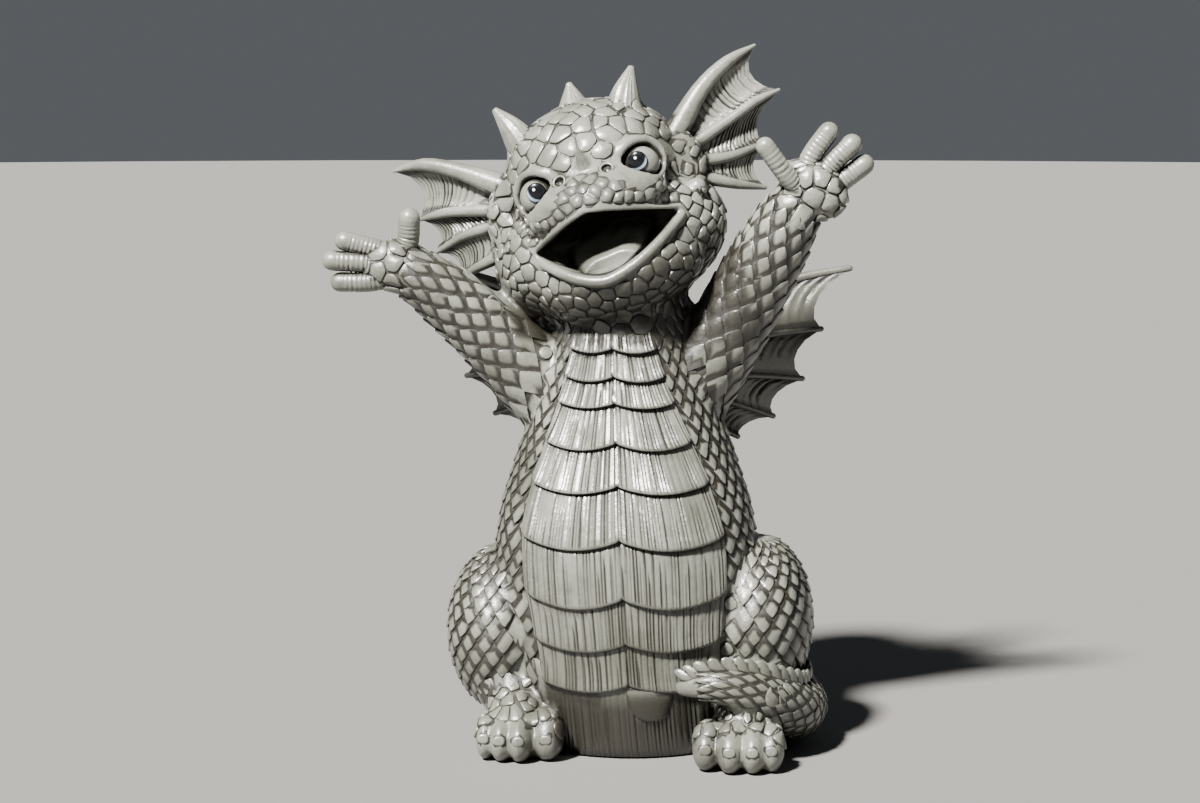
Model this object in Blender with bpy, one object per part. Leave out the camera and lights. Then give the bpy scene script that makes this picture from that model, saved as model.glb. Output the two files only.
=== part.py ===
"""Garden dragon in cast resin: one casting that sits on its own flat underside, and two eye inserts.

Lengths in the constants are millimetres. The dragon faces -Y and stands on z = 0, and its raised arms
and the turned head are not symmetric, so both sides are given.
"""

import math

import bpy
from mathutils import Matrix, Vector

MM = 0.001

# sculpting grid and triangle budget
ROUGH_VOXEL = 1.6
FINE_VOXEL = 0.95
ROUGH_SMOOTH = 9
FINE_SMOOTH = 2
TRIANGLES = 8750
LIMB_SIDES = 24
SLIM_SIDES = 16
SPAN_STEPS = 6
DOME_RINGS = 5

# torso: height, half width, y of the axis; depth is a share of the width
TORSO = (
    (-4, 36.0, 0.0),
    (12, 41.5, -1.0),
    (38, 46.6, -2.0),
    (64, 48.2, -2.0),
    (86, 46.6, -1.0),
    (110, 39.3, 1.0),
    (134, 31.5, 2.0),
    (156, 25.5, 2.0),
    (178, 21.0, 1.0),
)
TORSO_DEPTH = 0.885
TORSO_LEAN = -0.012
TORSO_SIDES = 64
TORSO_STEP = 2.0

# belly plates: a two-lobed lower edge each, lapped like roof tiles
PLATE_CUSPS = (158.0, 149.5, 139.5, 130.0, 116.0, 101.0, 82.0, 61.0, 44.3, 28.8)
PLATE_SAG = 0.21
PLATE_LIP = 1.9
PLATE_GROOVE = 0.55
PLATE_LOBE_POWER = 0.8
PLATE_TUCK = 2.5
PLATE_ROOT = 4.0
PLATE_CENTRE = 4.9
PLATE_CENTRE_SLOPE = -0.062
PLATE_WAIST = (28.0, 75.0, 160.0)
PLATE_HALF = (31.5, 36.5, 14.5)
PLATE_COLUMNS = 40
PLATE_ROWS = 5

HIPS = ((0, 6, 17), (44, 37, 25))

# legs, each side's values under -1 for the left and 1 for the right of the picture
HAUNCH_RADII = (20.5, 31.0, 31.0)
HAUNCHES = {-1: (-47.0, 0.0, 42.0), 1: (47.6, 0.0, 46.5)}
SHINS = {
    -1: (((-46, -12, 28), (-41, -24, 18), (-38, -34, 12)), (12, 10, 9)),
    1: (((48, -14, 32), (46, -30, 18), (43.5, -44, 10)), (14, 12, 10)),
}
TOES = {-1: (-49.6, -43.6, -36.6, -27.0), 1: (31.6, 40.4, 48.6, 55.2)}
TOE_RADII = {-1: (3.6, 4.3, 4.7, 6.2), 1: (5.0, 5.0, 4.9, 4.6)}
TOE_FRONT = {-1: -50.0, 1: -61.0}
FOOT_HEEL = {-1: -32.0, 1: -42.0}
FOOT_TOP = {-1: 21.5, 1: 19.5}
INSTEP_LENGTH = 17.0
TOE_CENTRE = (8.0, 7.6)
TOE_SIZE = (8.4, 7.9)

# arms from shoulder to wrist, palms as centre, radii and lean, fingers as path and radius
ARMS = {
    -1: ((-18, 6, 118), (-32, 2, 134), (-53.5, -2, 155), (-76, -9, 173.5), (-84, -11, 177)),
    1: ((15, 6, 122), (27.5, 2, 141), (43, -2, 167), (54.5, -7, 188.5), (62, -10, 202)),
}
ARM_RADII = {-1: (17.0, 15.5, 13.2, 9.8, 8.5), 1: (16.5, 15.2, 13.6, 12.2, 9.6)}
PALMS = {
    -1: ((-86.5, -11.5, 178.6), (12.0, 6.6, 9.4), 0),
    1: ((68.3, -11.5, 207.5), (13.0, 7.2, 10.4), 38),
}
FINGERS = {
    -1: (
        (((-85, -11, 182), (-95, -12, 185), (-104.5, -13.5, 187.7)), 3.4),
        (((-86, -12, 179), (-96, -12.5, 179.6), (-109.3, -14, 180.4)), 3.5),
        (((-86, -12, 175), (-95, -12.5, 172.6), (-106.2, -13, 172.4)), 3.4),
        (((-84, -11, 180), (-81, -12, 188), (-80.2, -14, 196)), 4.3),
    ),
    1: (
        (((65, -12, 207), (66.5, -12.5, 218), (73.2, -12.5, 228)), 3.5),
        (((68, -12, 207), (74, -12.5, 216), (81.6, -12.5, 223.6)), 3.5),
        (((70, -11, 205), (79, -11, 211), (86.4, -11, 216.4)), 3.8),
        (((65, -12, 206), (59, -17, 211.5), (50.6, -20.5, 223.0)), 3.4),
    ),
}

FINGER_ROOT = 1.05

# head frame: it leans to the left about the line of sight
HEAD_AT = (-13.6, 0.0, 211.6)
HEAD_LEAN = 17.5
HEAD_BALLS = (
    ("cranium", (0, 1.0, -8), (33.5, 26.5, 35)),
    ("jaw", (-1.8, -26.0, -6), (44.2, 27.5, 36)),
    ("muzzle", (0, -9.0, 19), (26.5, 12.5, 19)),
    ("chin", (0, -37.0, 13), (31.0, 15.5, 22)),
    ("nape", (0, -13.0, -14), (35.0, 34.0, 31)),
)
NECK = (((0, 3, 148), (-4, 2, 166), (-9, 2, 186)), (25, 24, 26))
EYE_SPREAD = 19.8
EYE_UP = -0.7
EYE_FORWARD = 16.5
EYEBALL = 7.9
SOCKET_RADII = (8.6, 7.9, 6.9)
EYELID = (8.1, 1.6)
EYELID_TURN = 24.0
IRIS_SPREAD = 19.3
IRIS_UP = 0.4
IRIS = 3.6
IRIS_DOME = 1.3
IRIS_SINK = 1.4
FIT_GAP = 0.3
POCKET_PROUD = 6.0
CHEEKS = ((-33.2, -17.3, 12.0, 3.9), (36.0, -15.3, 7.4, 3.4))

# mouth: its outline on the head, and its size at distances forward of the head's middle
MOUTH_PEAK = -3.0
MOUTH_REACH = {-1: 24.4, 1: 32.0}
MOUTH_TOP = -11.3
MOUTH_BOTTOM = -35.4
MOUTH_CORNER = -20.8
UPPER_CURVE = 1.25
LOWER_CURVE = 1.6
MOUTH_MIDDLE = -22.5
MOUTH_SIZES = ((60, 1.05), (37, 1.0), (26, 0.99), (16, 0.95), (9, 0.84), (3, 0.6), (0, 0.3))
MOUTH_CORNERS = 22
# lips: middle height, curve, front, radius, shift, and how far back the corners lie
LIPS = (
    (MOUTH_TOP, UPPER_CURVE, 37.0, 1.4, 0.8, 17.5),
    (MOUTH_BOTTOM, LOWER_CURVE, 35.2, 2.3, -1.9, 15.0),
)
TONGUE_AT = (-0.6, -31.5, 14.0)
TONGUE_RADII = (14.0, 6.5, 16.0)

# horns: right, up and forward on the head, with their radii
HORNS = (
    (((-19.7, 12.0, -1), (-21.4, 18.0, -1), (-24.0, 25.5, -1.5), (-27.8, 33.3, -3.5)), (8.6, 6.4, 4.3, 1.15)),
    (((15.8, 12.5, -1), (17.8, 18.5, -1), (20.6, 25.5, -1.5), (24.8, 33.2, -3.5)), (9.6, 7.3, 4.9, 1.15)),
    (((-1.5, 16, -18), (-1.4, 21, -20), (-1.2, 27, -21.3), (-0.6, 34.0, -22.5)), (11.0, 8.8, 5.6, 1.1)),
    (((0.2, 3.5, 24), (0.4, 6.5, 27), (-0.6, 11.6, 30.5)), (3.4, 2.3, 0.6)),
)

# ears: stops of four ribs each, from the head to the tips
EARS = {
    -1: (
        ((-46.0, 3, 206.5), (-63.5, 8, 212.2), (-78.7, 13, 214.8), (-90.7, 17, 212.1)),
        ((-46.0, 3, 198.5), (-65.9, 9, 197.4), (-73.7, 13, 196.0), (-80.4, 16, 194.0)),
        ((-46.0, 3, 193.5), (-61.4, 8, 188.9), (-74.7, 15, 181.5)),
        ((-45.0, 3, 183.0), (-57.8, 8, 176.5), (-65.1, 13, 171.9)),
    ),
    1: (
        ((15.5, 3, 224.5), (25.3, 8, 242.7), (35.1, 13, 253.1), (45.1, 17, 258.9)),
        ((19.5, 3, 220.3), (35.3, 9, 231.2), (45.6, 13, 238.6), (54.2, 17, 242.8)),
        ((22.5, 3, 216.5), (37.0, 9, 218.5), (48.9, 16, 223.2)),
        ((24.0, 3, 211.5), (38.7, 8, 208.2), (49.4, 14, 206.7)),
    ),
}
EAR_RADII = ((5.2, 3.3, 2.4, 0.9), (2.8, 2.2, 1.9, 0.9), (2.6, 2.1, 1.1), (2.8, 2.1, 1.1))
EAR_FLARES = {
    -1: ((-46.5, 2.0, 197.5), (7.0, 5.5, 14.0), 4),
    1: ((20.5, 2.0, 218.0), (7.0, 5.5, 12.0), -22),
}
EAR_DIP = 0.2
EAR_SCOOP = 0.16

# wings: five ribs each from the shoulder blades, one set mirrored to the other
WING_TIPS = (
    (82.0, 38.0, 175.0),
    (71.5, 35.0, 152.0),
    (64.5, 34.0, 133.0),
    (53.5, 34.0, 118.5),
    (40.0, 34.0, 110.5),
)
WING_ROOTS = (
    (14.0, 20.0, 142.0),
    (15.0, 21.0, 138.0),
    (15.0, 21.0, 133.0),
    (15.0, 21.0, 128.0),
    (14.0, 21.0, 122.0),
)
WING_ARCH = (9.0, 4.0, 2.0, 2.0, 1.0)
WING_RIB_RADII = ((4.2, 1.5), (2.6, 1.3), (2.5, 1.3), (2.5, 1.3), (2.5, 1.3))
WING_LIFT = (0, 0.45, 0.9)
WING_SCOOP = 0.07
WING_DIP = 0.14
MEMBRANE = 2.5
WEB_GRID = (16, 14)
RIB_SHARES = (0, 0.25, 0.5, 0.75, 1)

# tail: round the right foot to the front
TAIL = (
    (-4, 26, 24),
    (22, 40, 15),
    (47, 29, 13.5),
    (61, 6, 14),
    (62, -16, 16),
    (56, -32, 21.5),
    (46, -43, 27.5),
    (35, -48.5, 31),
    (23, -47.5, 29.5),
)
TAIL_RADII = (20.0, 15.5, 13.6, 12.0, 10.4, 9.2, 8.0, 6.2, 3.6)
TAIL_SPIKES = 10
TAIL_SPIKE_SPAN = (0.3, 0.9)
TAIL_SPIKE_WAY = (0.35, 0.25, 0.9)
TAIL_SPIKE_RADIUS = 3.6
TAIL_SPIKE_HEIGHT = 3.0
BACK_SPIKES = 8
BACK_SPIKE_LOW = 36
BACK_SPIKE_PITCH = 15.5
BACK_SPIKE_HEIGHT = 7.0
BACK_SPIKE_RADIUS = 6.0
SPIKE_TAPER = (1.0, 0.62, 0.22)

# box, in metres, that cuts the underside flat, and the band above it that is pressed flat too
GROUND_BOX = (0.4, 0.4, 0.1)
FLAT_BAND = 0.2

RESIN_COLOUR = (0.34, 0.35, 0.31)
RESIN_ROUGHNESS = 0.55
EYE_COLOUR = (0.02, 0.022, 0.026)
EYE_ROUGHNESS = 0.08


def put(name, points, faces):
    """A mesh object from points in millimetres."""
    mesh = bpy.data.meshes.new(name)
    mesh.from_pydata([Vector(point) * MM for point in points], [], faces)
    mesh.update()
    obj = bpy.data.objects.new(name, mesh)
    bpy.context.scene.collection.objects.link(obj)
    return obj


def curve_at(stops, place):
    """Catmull-Rom through the stops, tuples of any length, at place 0 to 1."""
    spans = len(stops) - 1
    scaled = min(max(place, 0.0), 1.0) * spans
    first = min(int(scaled), spans - 1)
    t = scaled - first
    before = stops[max(first - 1, 0)]
    start = stops[first]
    end = stops[first + 1]
    after = stops[min(first + 2, spans)]
    return [
        0.5 * (2 * b + (c - a) * t + (2 * a - 5 * b + 4 * c - d) * t * t + (3 * b - a - 3 * c + d) * t ** 3)
        for a, b, c, d in zip(before, start, end, after)
    ]


def between(stops, value):
    """Smooth value of a three-stop profile given as positions and sizes."""
    places, sizes = stops
    if value <= places[1]:
        share = (value - places[0]) / (places[1] - places[0])
        low, high = sizes[0], sizes[1]
    else:
        share = (value - places[1]) / (places[2] - places[1])
        low, high = sizes[1], sizes[2]
    share = min(max(share, 0.0), 1.0)
    return low + (high - low) * share * share * (3 - 2 * share)


def on_head(right, up, forward):
    """A point of the leaning head, from its own right, up and forward distances."""
    lean = math.radians(HEAD_LEAN)
    return (
        HEAD_AT[0] + right * math.cos(lean) - up * math.sin(lean),
        HEAD_AT[1] - forward,
        HEAD_AT[2] + right * math.sin(lean) + up * math.cos(lean),
    )


def ball(name, centre, radii, lean=0.0):
    """An ellipsoid, leaned about Y, in degrees."""
    bpy.ops.mesh.primitive_uv_sphere_add(segments=40, ring_count=24, radius=MM)
    obj = bpy.context.object
    obj.name = name
    turn = Matrix.Rotation(math.radians(lean), 4, "Y")
    scale = Matrix.Diagonal((*radii, 1.0))
    obj.data.transform(Matrix.Translation(Vector(centre) * MM) @ turn @ scale)
    return obj


def head_ball(name, centre, radii):
    return ball(name, on_head(*centre), (radii[0], radii[2], radii[1]), lean=-HEAD_LEAN)


def rings(name, frames, sides):
    """A closed skin over rings of (centre, across, over, radius), with a point at each end."""
    points = [frames[0][0]]
    for centre, across, over, radius in frames:
        for step in range(sides):
            angle = math.tau * step / sides
            offset = across * math.cos(angle) + over * math.sin(angle)
            points.append(centre + offset * radius)
    points.append(frames[-1][0])
    last = len(points) - 1
    faces = []
    for row in range(len(frames) - 1):
        for step in range(sides):
            here = 1 + row * sides + step
            side = 1 + row * sides + (step + 1) % sides
            faces.append((here, side, side + sides, here + sides))
    for step in range(sides):
        following = (step + 1) % sides
        faces.append((0, 1 + following, 1 + step))
        faces.append((last, last - sides + step, last - sides + following))
    return put(name, points, faces)


def limb(name, path, radii, sides=LIMB_SIDES):
    """A round limb along a smooth path, with domed ends."""
    stops = [(*point, radius) for point, radius in zip(path, radii)]
    count = SPAN_STEPS * (len(path) - 1)
    places = [curve_at(stops, step / count) for step in range(count + 1)]
    points = [Vector(place[:3]) for place in places]
    sizes = [place[3] for place in places]
    over = Vector((0, 0, 1))
    frames = []
    for index, (point, size) in enumerate(zip(points, sizes)):
        ahead = points[min(index + 1, count)] - points[max(index - 1, 0)]
        ahead.normalize()
        if abs(over.dot(ahead)) > 0.95:
            over = Vector((1, 0, 0))
        over = (over - ahead * over.dot(ahead)).normalized()
        across = over.cross(ahead)
        if index in (0, count):
            outward = ahead if index else -ahead
            dome = []
            for ring in range(1, DOME_RINGS + 1):
                angle = math.radians(88) * ring / DOME_RINGS
                centre = point + outward * size * math.sin(angle)
                dome.append((centre, across, over, size * math.cos(angle)))
            plain = [(point, across, over, size)]
            frames += plain + dome if index else dome[::-1] + plain
        else:
            frames.append((point, across, over, size))
    return rings(name, frames, sides)


def torso_ring(height):
    """(centre x, centre y, half width, half depth) of the torso at a height."""
    bottom, top = TORSO[0][0], TORSO[-1][0]
    low, high = 0.0, 1.0
    for _ in range(30):
        middle = (low + high) / 2
        if curve_at(TORSO, middle)[0] < height:
            low = middle
        else:
            high = middle
    _, half, axis = curve_at(TORSO, low)
    height = min(max(height, bottom), top)
    return TORSO_LEAN * height, axis, half, half * TORSO_DEPTH


def torso_point(angle, height, lift=0.0):
    """A point on the torso; angle 0 is the front, positive to the dragon's left, image right."""
    x, y, half, depth = torso_ring(height)
    normal = Vector((math.sin(angle) / half, -math.cos(angle) / depth, 0)).normalized()
    return Vector((x + half * math.sin(angle), y - depth * math.cos(angle), height)) + normal * lift


def torso():
    frames = []
    count = int((TORSO[-1][0] - TORSO[0][0]) / TORSO_STEP)
    heights = [TORSO[0][0] + step * TORSO_STEP for step in range(count + 1)]
    for height in heights:
        x, y, half, depth = torso_ring(height)
        frames.append((Vector((x, y, height)), Vector((half, 0, 0)), Vector((0, depth, 0)), 1.0))
    return rings("torso", frames, TORSO_SIDES)


def plate_middle(height):
    return PLATE_CENTRE + PLATE_CENTRE_SLOPE * height


def plate_angle(across, height):
    """Angle on the torso of a point at a share -1 to 1 across the plates."""
    x, _, half, _ = torso_ring(height)
    reach = plate_middle(height) + across * between((PLATE_WAIST, PLATE_HALF), height) - x
    return math.asin(min(max(reach / half, -0.98), 0.98))


def belly_plate(number):
    """One lapped plate: thin where it slips under the one above, proud at its scalloped lower edge."""
    top, cusp = PLATE_CUSPS[number], PLATE_CUSPS[number + 1]
    pitch = top - cusp
    outer = []
    for row in range(PLATE_ROWS + 1):
        down = row / PLATE_ROWS
        for column in range(PLATE_COLUMNS + 1):
            across = 2 * column / PLATE_COLUMNS - 1
            lobe = abs(math.sin(math.pi * across)) ** PLATE_LOBE_POWER
            start = top + PLATE_TUCK - PLATE_SAG * pitch * lobe
            end = cusp - PLATE_SAG * pitch * lobe
            height = start + (end - start) * down
            groove = PLATE_GROOVE * max(0.0, 1 - abs(across) / 0.05)
            edge = min(1.0, (1 - abs(across)) / 0.06)
            lift = PLATE_LIP * (0.12 + 0.88 * down ** 1.2) * (0.35 + 0.65 * edge) - groove
            outer.append((plate_angle(across, height), height, lift))
    points = [torso_point(*place) for place in outer]
    points += [torso_point(angle, height, -PLATE_ROOT) for angle, height, _ in outer]
    wide = PLATE_COLUMNS + 1
    under = len(outer)
    faces = []
    for row in range(PLATE_ROWS):
        for column in range(PLATE_COLUMNS):
            here = row * wide + column
            faces.append((here, here + wide, here + wide + 1, here + 1))
            faces.append(tuple(under + corner for corner in (here, here + 1, here + wide + 1, here + wide)))
    rim = list(range(wide))
    rim += [row * wide + wide - 1 for row in range(1, PLATE_ROWS + 1)]
    rim += [PLATE_ROWS * wide + column for column in range(wide - 2, -1, -1)]
    rim += [row * wide for row in range(PLATE_ROWS - 1, 0, -1)]
    for here, following in zip(rim, rim[1:] + rim[:1]):
        faces.append((here, following, under + following, under + here))
    return put(f"plate_{number}", points, faces)


def rib_path(root, tip, arch, lift):
    """A rib from root to tip, bowed by arch along the lift direction."""
    root, tip = Vector(root), Vector(tip)
    return [root.lerp(tip, share) + lift * arch * math.sin(math.pi * share ** 0.85) for share in RIB_SHARES]


def fin(name, paths, radii, dip, scoop):
    """Ribs with scooped webs between them; each web's outer edge dips towards the root between two tips."""
    parts = []
    for number, (path, sizes) in enumerate(zip(paths, radii)):
        parts.append(limb(f"{name}_rib_{number}", path, sizes, sides=SLIM_SIDES))
    along, across = WEB_GRID
    for number, (first, second) in enumerate(zip(paths, paths[1:])):
        points = []
        for layer in (-0.5, 0.5):
            for row in range(along + 1):
                for column in range(across + 1):
                    side = column / across
                    reach = 1 - dip * (4 * side * (1 - side)) ** 0.6
                    share = reach * row / along
                    a = Vector(curve_at(first, share))
                    b = Vector(curve_at(second, share))
                    face = (b - a).cross(Vector(first[-1]) - Vector(first[0])).normalized()
                    sag = scoop * (b - a).length * math.sin(math.pi * side)
                    points.append(a.lerp(b, side) + face * (layer * MEMBRANE + sag))
        wide = across + 1
        under = (along + 1) * wide
        faces = []
        for row in range(along):
            for column in range(across):
                here = row * wide + column
                faces.append((here, here + 1, here + wide + 1, here + wide))
                back = (here, here + wide, here + wide + 1, here + 1)
                faces.append(tuple(under + corner for corner in back))
        rim = list(range(wide)) + [row * wide + across for row in range(1, along + 1)]
        rim += [along * wide + column for column in range(across - 1, -1, -1)]
        rim += [row * wide for row in range(along - 1, 0, -1)]
        for here, following in zip(rim, rim[1:] + rim[:1]):
            faces.append((following, here, under + here, under + following))
        parts.append(put(f"{name}_web_{number}", points, faces))
    return parts


def ear(side):
    return fin(f"ear_{side}", EARS[side], EAR_RADII, EAR_DIP, -side * EAR_SCOOP)


def wing(side):
    paths = []
    for root, tip, arch in zip(WING_ROOTS, WING_TIPS, WING_ARCH):
        start = (side * root[0], root[1], root[2])
        end = (side * tip[0] - 1, tip[1], tip[2])
        paths.append(rib_path(start, end, arch, Vector(WING_LIFT)))
    tapers = [share ** 0.8 for share in RIB_SHARES]
    sizes = [[thick + (thin - thick) * taper for taper in tapers] for thick, thin in WING_RIB_RADII]
    return fin(f"wing_{side}", paths, sizes, WING_DIP, side * WING_SCOOP)


def spike(name, base, tip, radius):
    path = [Vector(base).lerp(Vector(tip), share) for share in (0, 0.5, 1)]
    return limb(name, path, [radius * share for share in SPIKE_TAPER], sides=SLIM_SIDES)


def eyelid(side):
    """The rim of an eye: a ring turned a little outwards, as the face curves back there."""
    bpy.ops.mesh.primitive_torus_add(
        major_radius=EYELID[0] * MM, minor_radius=EYELID[1] * MM, major_segments=32, minor_segments=12
    )
    obj = bpy.context.object
    lean = Matrix.Rotation(math.radians(-HEAD_LEAN), 4, "Y")
    turn = lean @ Matrix.Rotation(math.radians(side * EYELID_TURN), 4, "Z")
    place = Vector(on_head(side * EYE_SPREAD, EYE_UP, EYE_FORWARD + 4.0)) * MM
    obj.data.transform(Matrix.Translation(place) @ turn @ Matrix.Rotation(math.radians(90), 4, "X"))
    return obj


def horns():
    made = []
    for number, (path, radii) in enumerate(HORNS):
        made.append(limb(f"horn_{number}", [on_head(*place) for place in path], radii, sides=LIMB_SIDES))
    return made


def mouth_edge(right, middle, curve):
    """Height of the mouth's outline on the head, from its middle height to the corner."""
    away = right - MOUTH_PEAK
    share = min(abs(away) / MOUTH_REACH[1 if away > 0 else -1], 1.0)
    return middle + (MOUTH_CORNER - middle) * share ** curve


def mouth_right(share):
    """Place across the mouth for a share of -1 to 1."""
    return MOUTH_PEAK + share * MOUTH_REACH[1 if share > 0 else -1]


def lips():
    made = []
    for number, (middle, curve, front, radius, shift, back) in enumerate(LIPS):
        path = []
        for step in range(17):
            share = step / 8 - 1
            right = mouth_right(share)
            forward = front - back * abs(share) ** 2.3
            path.append(on_head(right, mouth_edge(right, middle, curve) + shift, forward))
        made.append(limb(f"lip_{number}", path, [radius] * len(path), sides=SLIM_SIDES))
    return made


def outward_normals(obj):
    """Turns the faces of a closed mesh outwards, with the edit mode operator."""
    activate(obj)
    bpy.ops.object.mode_set(mode="EDIT")
    bpy.ops.mesh.select_all(action="SELECT")
    bpy.ops.mesh.normals_make_consistent(inside=False)
    bpy.ops.object.mode_set(mode="OBJECT")


def mouth_cutter():
    """The open mouth as a lens-shaped plug, narrowing towards the throat."""
    points = []
    for forward, size in MOUTH_SIZES:
        for step in range(2 * MOUTH_CORNERS):
            if step <= MOUTH_CORNERS:
                right = mouth_right(2 * step / MOUTH_CORNERS - 1)
                up = mouth_edge(right, MOUTH_TOP, UPPER_CURVE)
            else:
                right = mouth_right(3 - 2 * step / MOUTH_CORNERS)
                up = mouth_edge(right, MOUTH_BOTTOM, LOWER_CURVE)
            points.append(on_head(right * size, (up - MOUTH_MIDDLE) * size + MOUTH_MIDDLE, forward))
    count = 2 * MOUTH_CORNERS
    faces = [tuple(range(count)), tuple(reversed(range(len(points) - count, len(points))))]
    for row in range(len(MOUTH_SIZES) - 1):
        for step in range(count):
            here = row * count + step
            side = row * count + (step + 1) % count
            faces.append((here, here + count, side + count, side))
    cutter = put("mouth_cutter", points, faces)
    outward_normals(cutter)
    return cutter


def hand(side):
    centre, radii, lean = PALMS[side]
    made = [ball(f"palm_{side}", centre, radii, lean=lean)]
    for number, (path, radius) in enumerate(FINGERS[side]):
        sizes = [radius * FINGER_ROOT] + [radius] * (len(path) - 1)
        made.append(limb(f"finger_{side}_{number}", path, sizes, sides=SLIM_SIDES))
    return made


def foot(side):
    """A round instep with four toes that touch side by side."""
    toes, front, heel, top = TOES[side], TOE_FRONT[side], FOOT_HEEL[side], FOOT_TOP[side]
    middle = (toes[0] + toes[-1]) / 2
    half = (toes[-1] - toes[0]) / 2
    made = [ball(f"instep_{side}", (middle, heel + 3, top * 0.42), (half + 3.2, INSTEP_LENGTH, top * 0.53))]
    for number, (x, radius) in enumerate(zip(toes, TOE_RADII[side])):
        tip = front + 4.0 * (abs(x - middle) / half) ** 2
        centre = (x, tip + TOE_CENTRE[0], TOE_CENTRE[1])
        made.append(ball(f"toe_{side}_{number}", centre, (radius, *TOE_SIZE)))
        path = (
            (middle + (x - middle) * 0.75, heel + 2, top * 0.5),
            (middle + (x - middle) * 0.94, (tip + heel) / 2 + 2, 12.6),
            (x, tip + 6.6, 10.6),
        )
        made.append(limb(f"toe_root_{side}_{number}", path, (radius, radius * 0.98, radius * 0.93)))
    return made


def tail_spikes():
    """Rounded fins along the upper side of the tail."""
    made = []
    first, last = TAIL_SPIKE_SPAN
    outward = Vector(TAIL_SPIKE_WAY).normalized()
    for number in range(TAIL_SPIKES):
        share = first + (last - first) * number / (TAIL_SPIKES - 1)
        centre = Vector(curve_at(TAIL, share))
        size = curve_at([(radius,) for radius in TAIL_RADII], share)[0]
        tip = centre + outward * (size + TAIL_SPIKE_HEIGHT)
        made.append(spike(f"tail_spike_{number}", centre + outward * size * 0.6, tip, TAIL_SPIKE_RADIUS))
    return made


def back_spikes():
    """A row of low fins down the middle of the back."""
    made = []
    for number in range(BACK_SPIKES):
        height = BACK_SPIKE_LOW + BACK_SPIKE_PITCH * number
        base = torso_point(math.pi, height, -3)
        tip = torso_point(math.pi, height - 2.0, BACK_SPIKE_HEIGHT)
        made.append(spike(f"back_spike_{number}", base, tip, BACK_SPIKE_RADIUS))
    return made


def activate(obj):
    bpy.ops.object.select_all(action="DESELECT")
    obj.select_set(True)
    bpy.context.view_layer.objects.active = obj


def joined(name, parts):
    bpy.ops.object.select_all(action="DESELECT")
    for part in parts:
        part.select_set(True)
    bpy.context.view_layer.objects.active = parts[0]
    bpy.ops.object.join()
    obj = bpy.context.object
    obj.name = name
    return obj


def apply_modifier(obj, kind, **settings):
    activate(obj)
    modifier = obj.modifiers.new(kind, kind)
    for key, value in settings.items():
        setattr(modifier, key, value)
    bpy.ops.object.modifier_apply(modifier=modifier.name)


def skinned(obj, voxel, smooth):
    """One skin over everything that overlaps, then softened."""
    apply_modifier(obj, "REMESH", mode="VOXEL", voxel_size=voxel * MM)
    apply_modifier(obj, "SMOOTH", factor=0.5, iterations=smooth)


def cut(obj, cutter):
    apply_modifier(obj, "BOOLEAN", operation="DIFFERENCE", solver="EXACT", object=cutter)
    bpy.data.objects.remove(cutter)


def big_forms():
    made = [torso()]
    for side, centre in HAUNCHES.items():
        made.append(ball(f"haunch_{side}", centre, HAUNCH_RADII))
        made.append(limb(f"shin_{side}", *SHINS[side]))
        made.append(limb(f"arm_{side}", ARMS[side], ARM_RADII[side]))
        flare_at, flare_radii, lean = EAR_FLARES[side]
        made.append(ball(f"ear_flare_{side}", flare_at, flare_radii, lean=lean))
    for path, (thick, thin, _, _) in HORNS[:3]:
        flare = (thick + 2.5, thin + 0.6, 1.5)
        made.append(limb("horn_base", [on_head(*place) for place in path[:3]], flare))
    made.append(limb("tail", TAIL, TAIL_RADII))
    made.append(limb("neck", *NECK))
    made.append(ball("hips", *HIPS))
    for name, centre, radii in HEAD_BALLS:
        made.append(head_ball(name, centre, radii))
    return made


def eye_sockets_and_mouth(obj):
    cut(obj, mouth_cutter())
    for side in (-1, 1):
        cut(obj, head_ball("socket", (side * EYE_SPREAD, EYE_UP, EYE_FORWARD + 2.0), SOCKET_RADII))


def small_forms():
    made = lips() + horns() + tail_spikes() + back_spikes()
    for side in (-1, 1):
        made += hand(side) + foot(side) + ear(side) + wing(side)
        eye = (side * EYE_SPREAD, EYE_UP, EYE_FORWARD)
        made.append(head_ball("eyeball", eye, (EYEBALL, EYEBALL, EYEBALL)))
        made.append(eyelid(side))
    for right, up, forward, radius in CHEEKS:
        made.append(head_ball("cheek", (right, up, forward), (radius, radius, radius)))
    made.append(head_ball("tongue", TONGUE_AT, TONGUE_RADII))
    made += [belly_plate(number) for number in range(len(PLATE_CUSPS) - 1)]
    return made


def resin(name, colour, roughness):
    material = bpy.data.materials.new(name)
    material.use_nodes = True
    shader = material.node_tree.nodes["Principled BSDF"]
    shader.inputs["Base Color"].default_value = (*colour, 1.0)
    shader.inputs["Roughness"].default_value = roughness
    material.diffuse_color = (*colour, 1.0)
    return material


def flatten_underside(obj):
    """Takes off what lies below the ground plane, so that the casting rests on a flat face."""
    bpy.ops.mesh.primitive_cube_add(size=1.0, location=(0, 0, -GROUND_BOX[2] / 2))
    box = bpy.context.object
    box.data.transform(Matrix.Diagonal((*GROUND_BOX, 1.0)))
    cut(obj, box)
    for vertex in obj.data.vertices:
        if vertex.co.z < FLAT_BAND * MM:
            vertex.co.z = 0.0


def iris_place(side):
    """Where an eye insert sits, on the front of its eyeball."""
    return Vector(on_head(side * IRIS_SPREAD, IRIS_UP, EYE_FORWARD + EYEBALL))


def iris_solid(name, side, radius, proud, deep):
    """A domed disc whose axis runs forward, from deep behind the eyeball's face to proud before it."""
    place = iris_place(side)
    forward = Vector((0, -1, 0))
    over = Vector((0, 0, 1))
    across = Vector((1, 0, 0))
    frames = [(place - forward * deep, across, over, radius)]
    steps = 5
    for step in range(steps + 1):
        angle = math.radians(84) * step / steps
        centre = place + forward * (proud * math.sin(angle) - 0.5)
        frames.append((centre, across, over, radius * math.cos(angle)))
    return rings(name, frames, 24)


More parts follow.
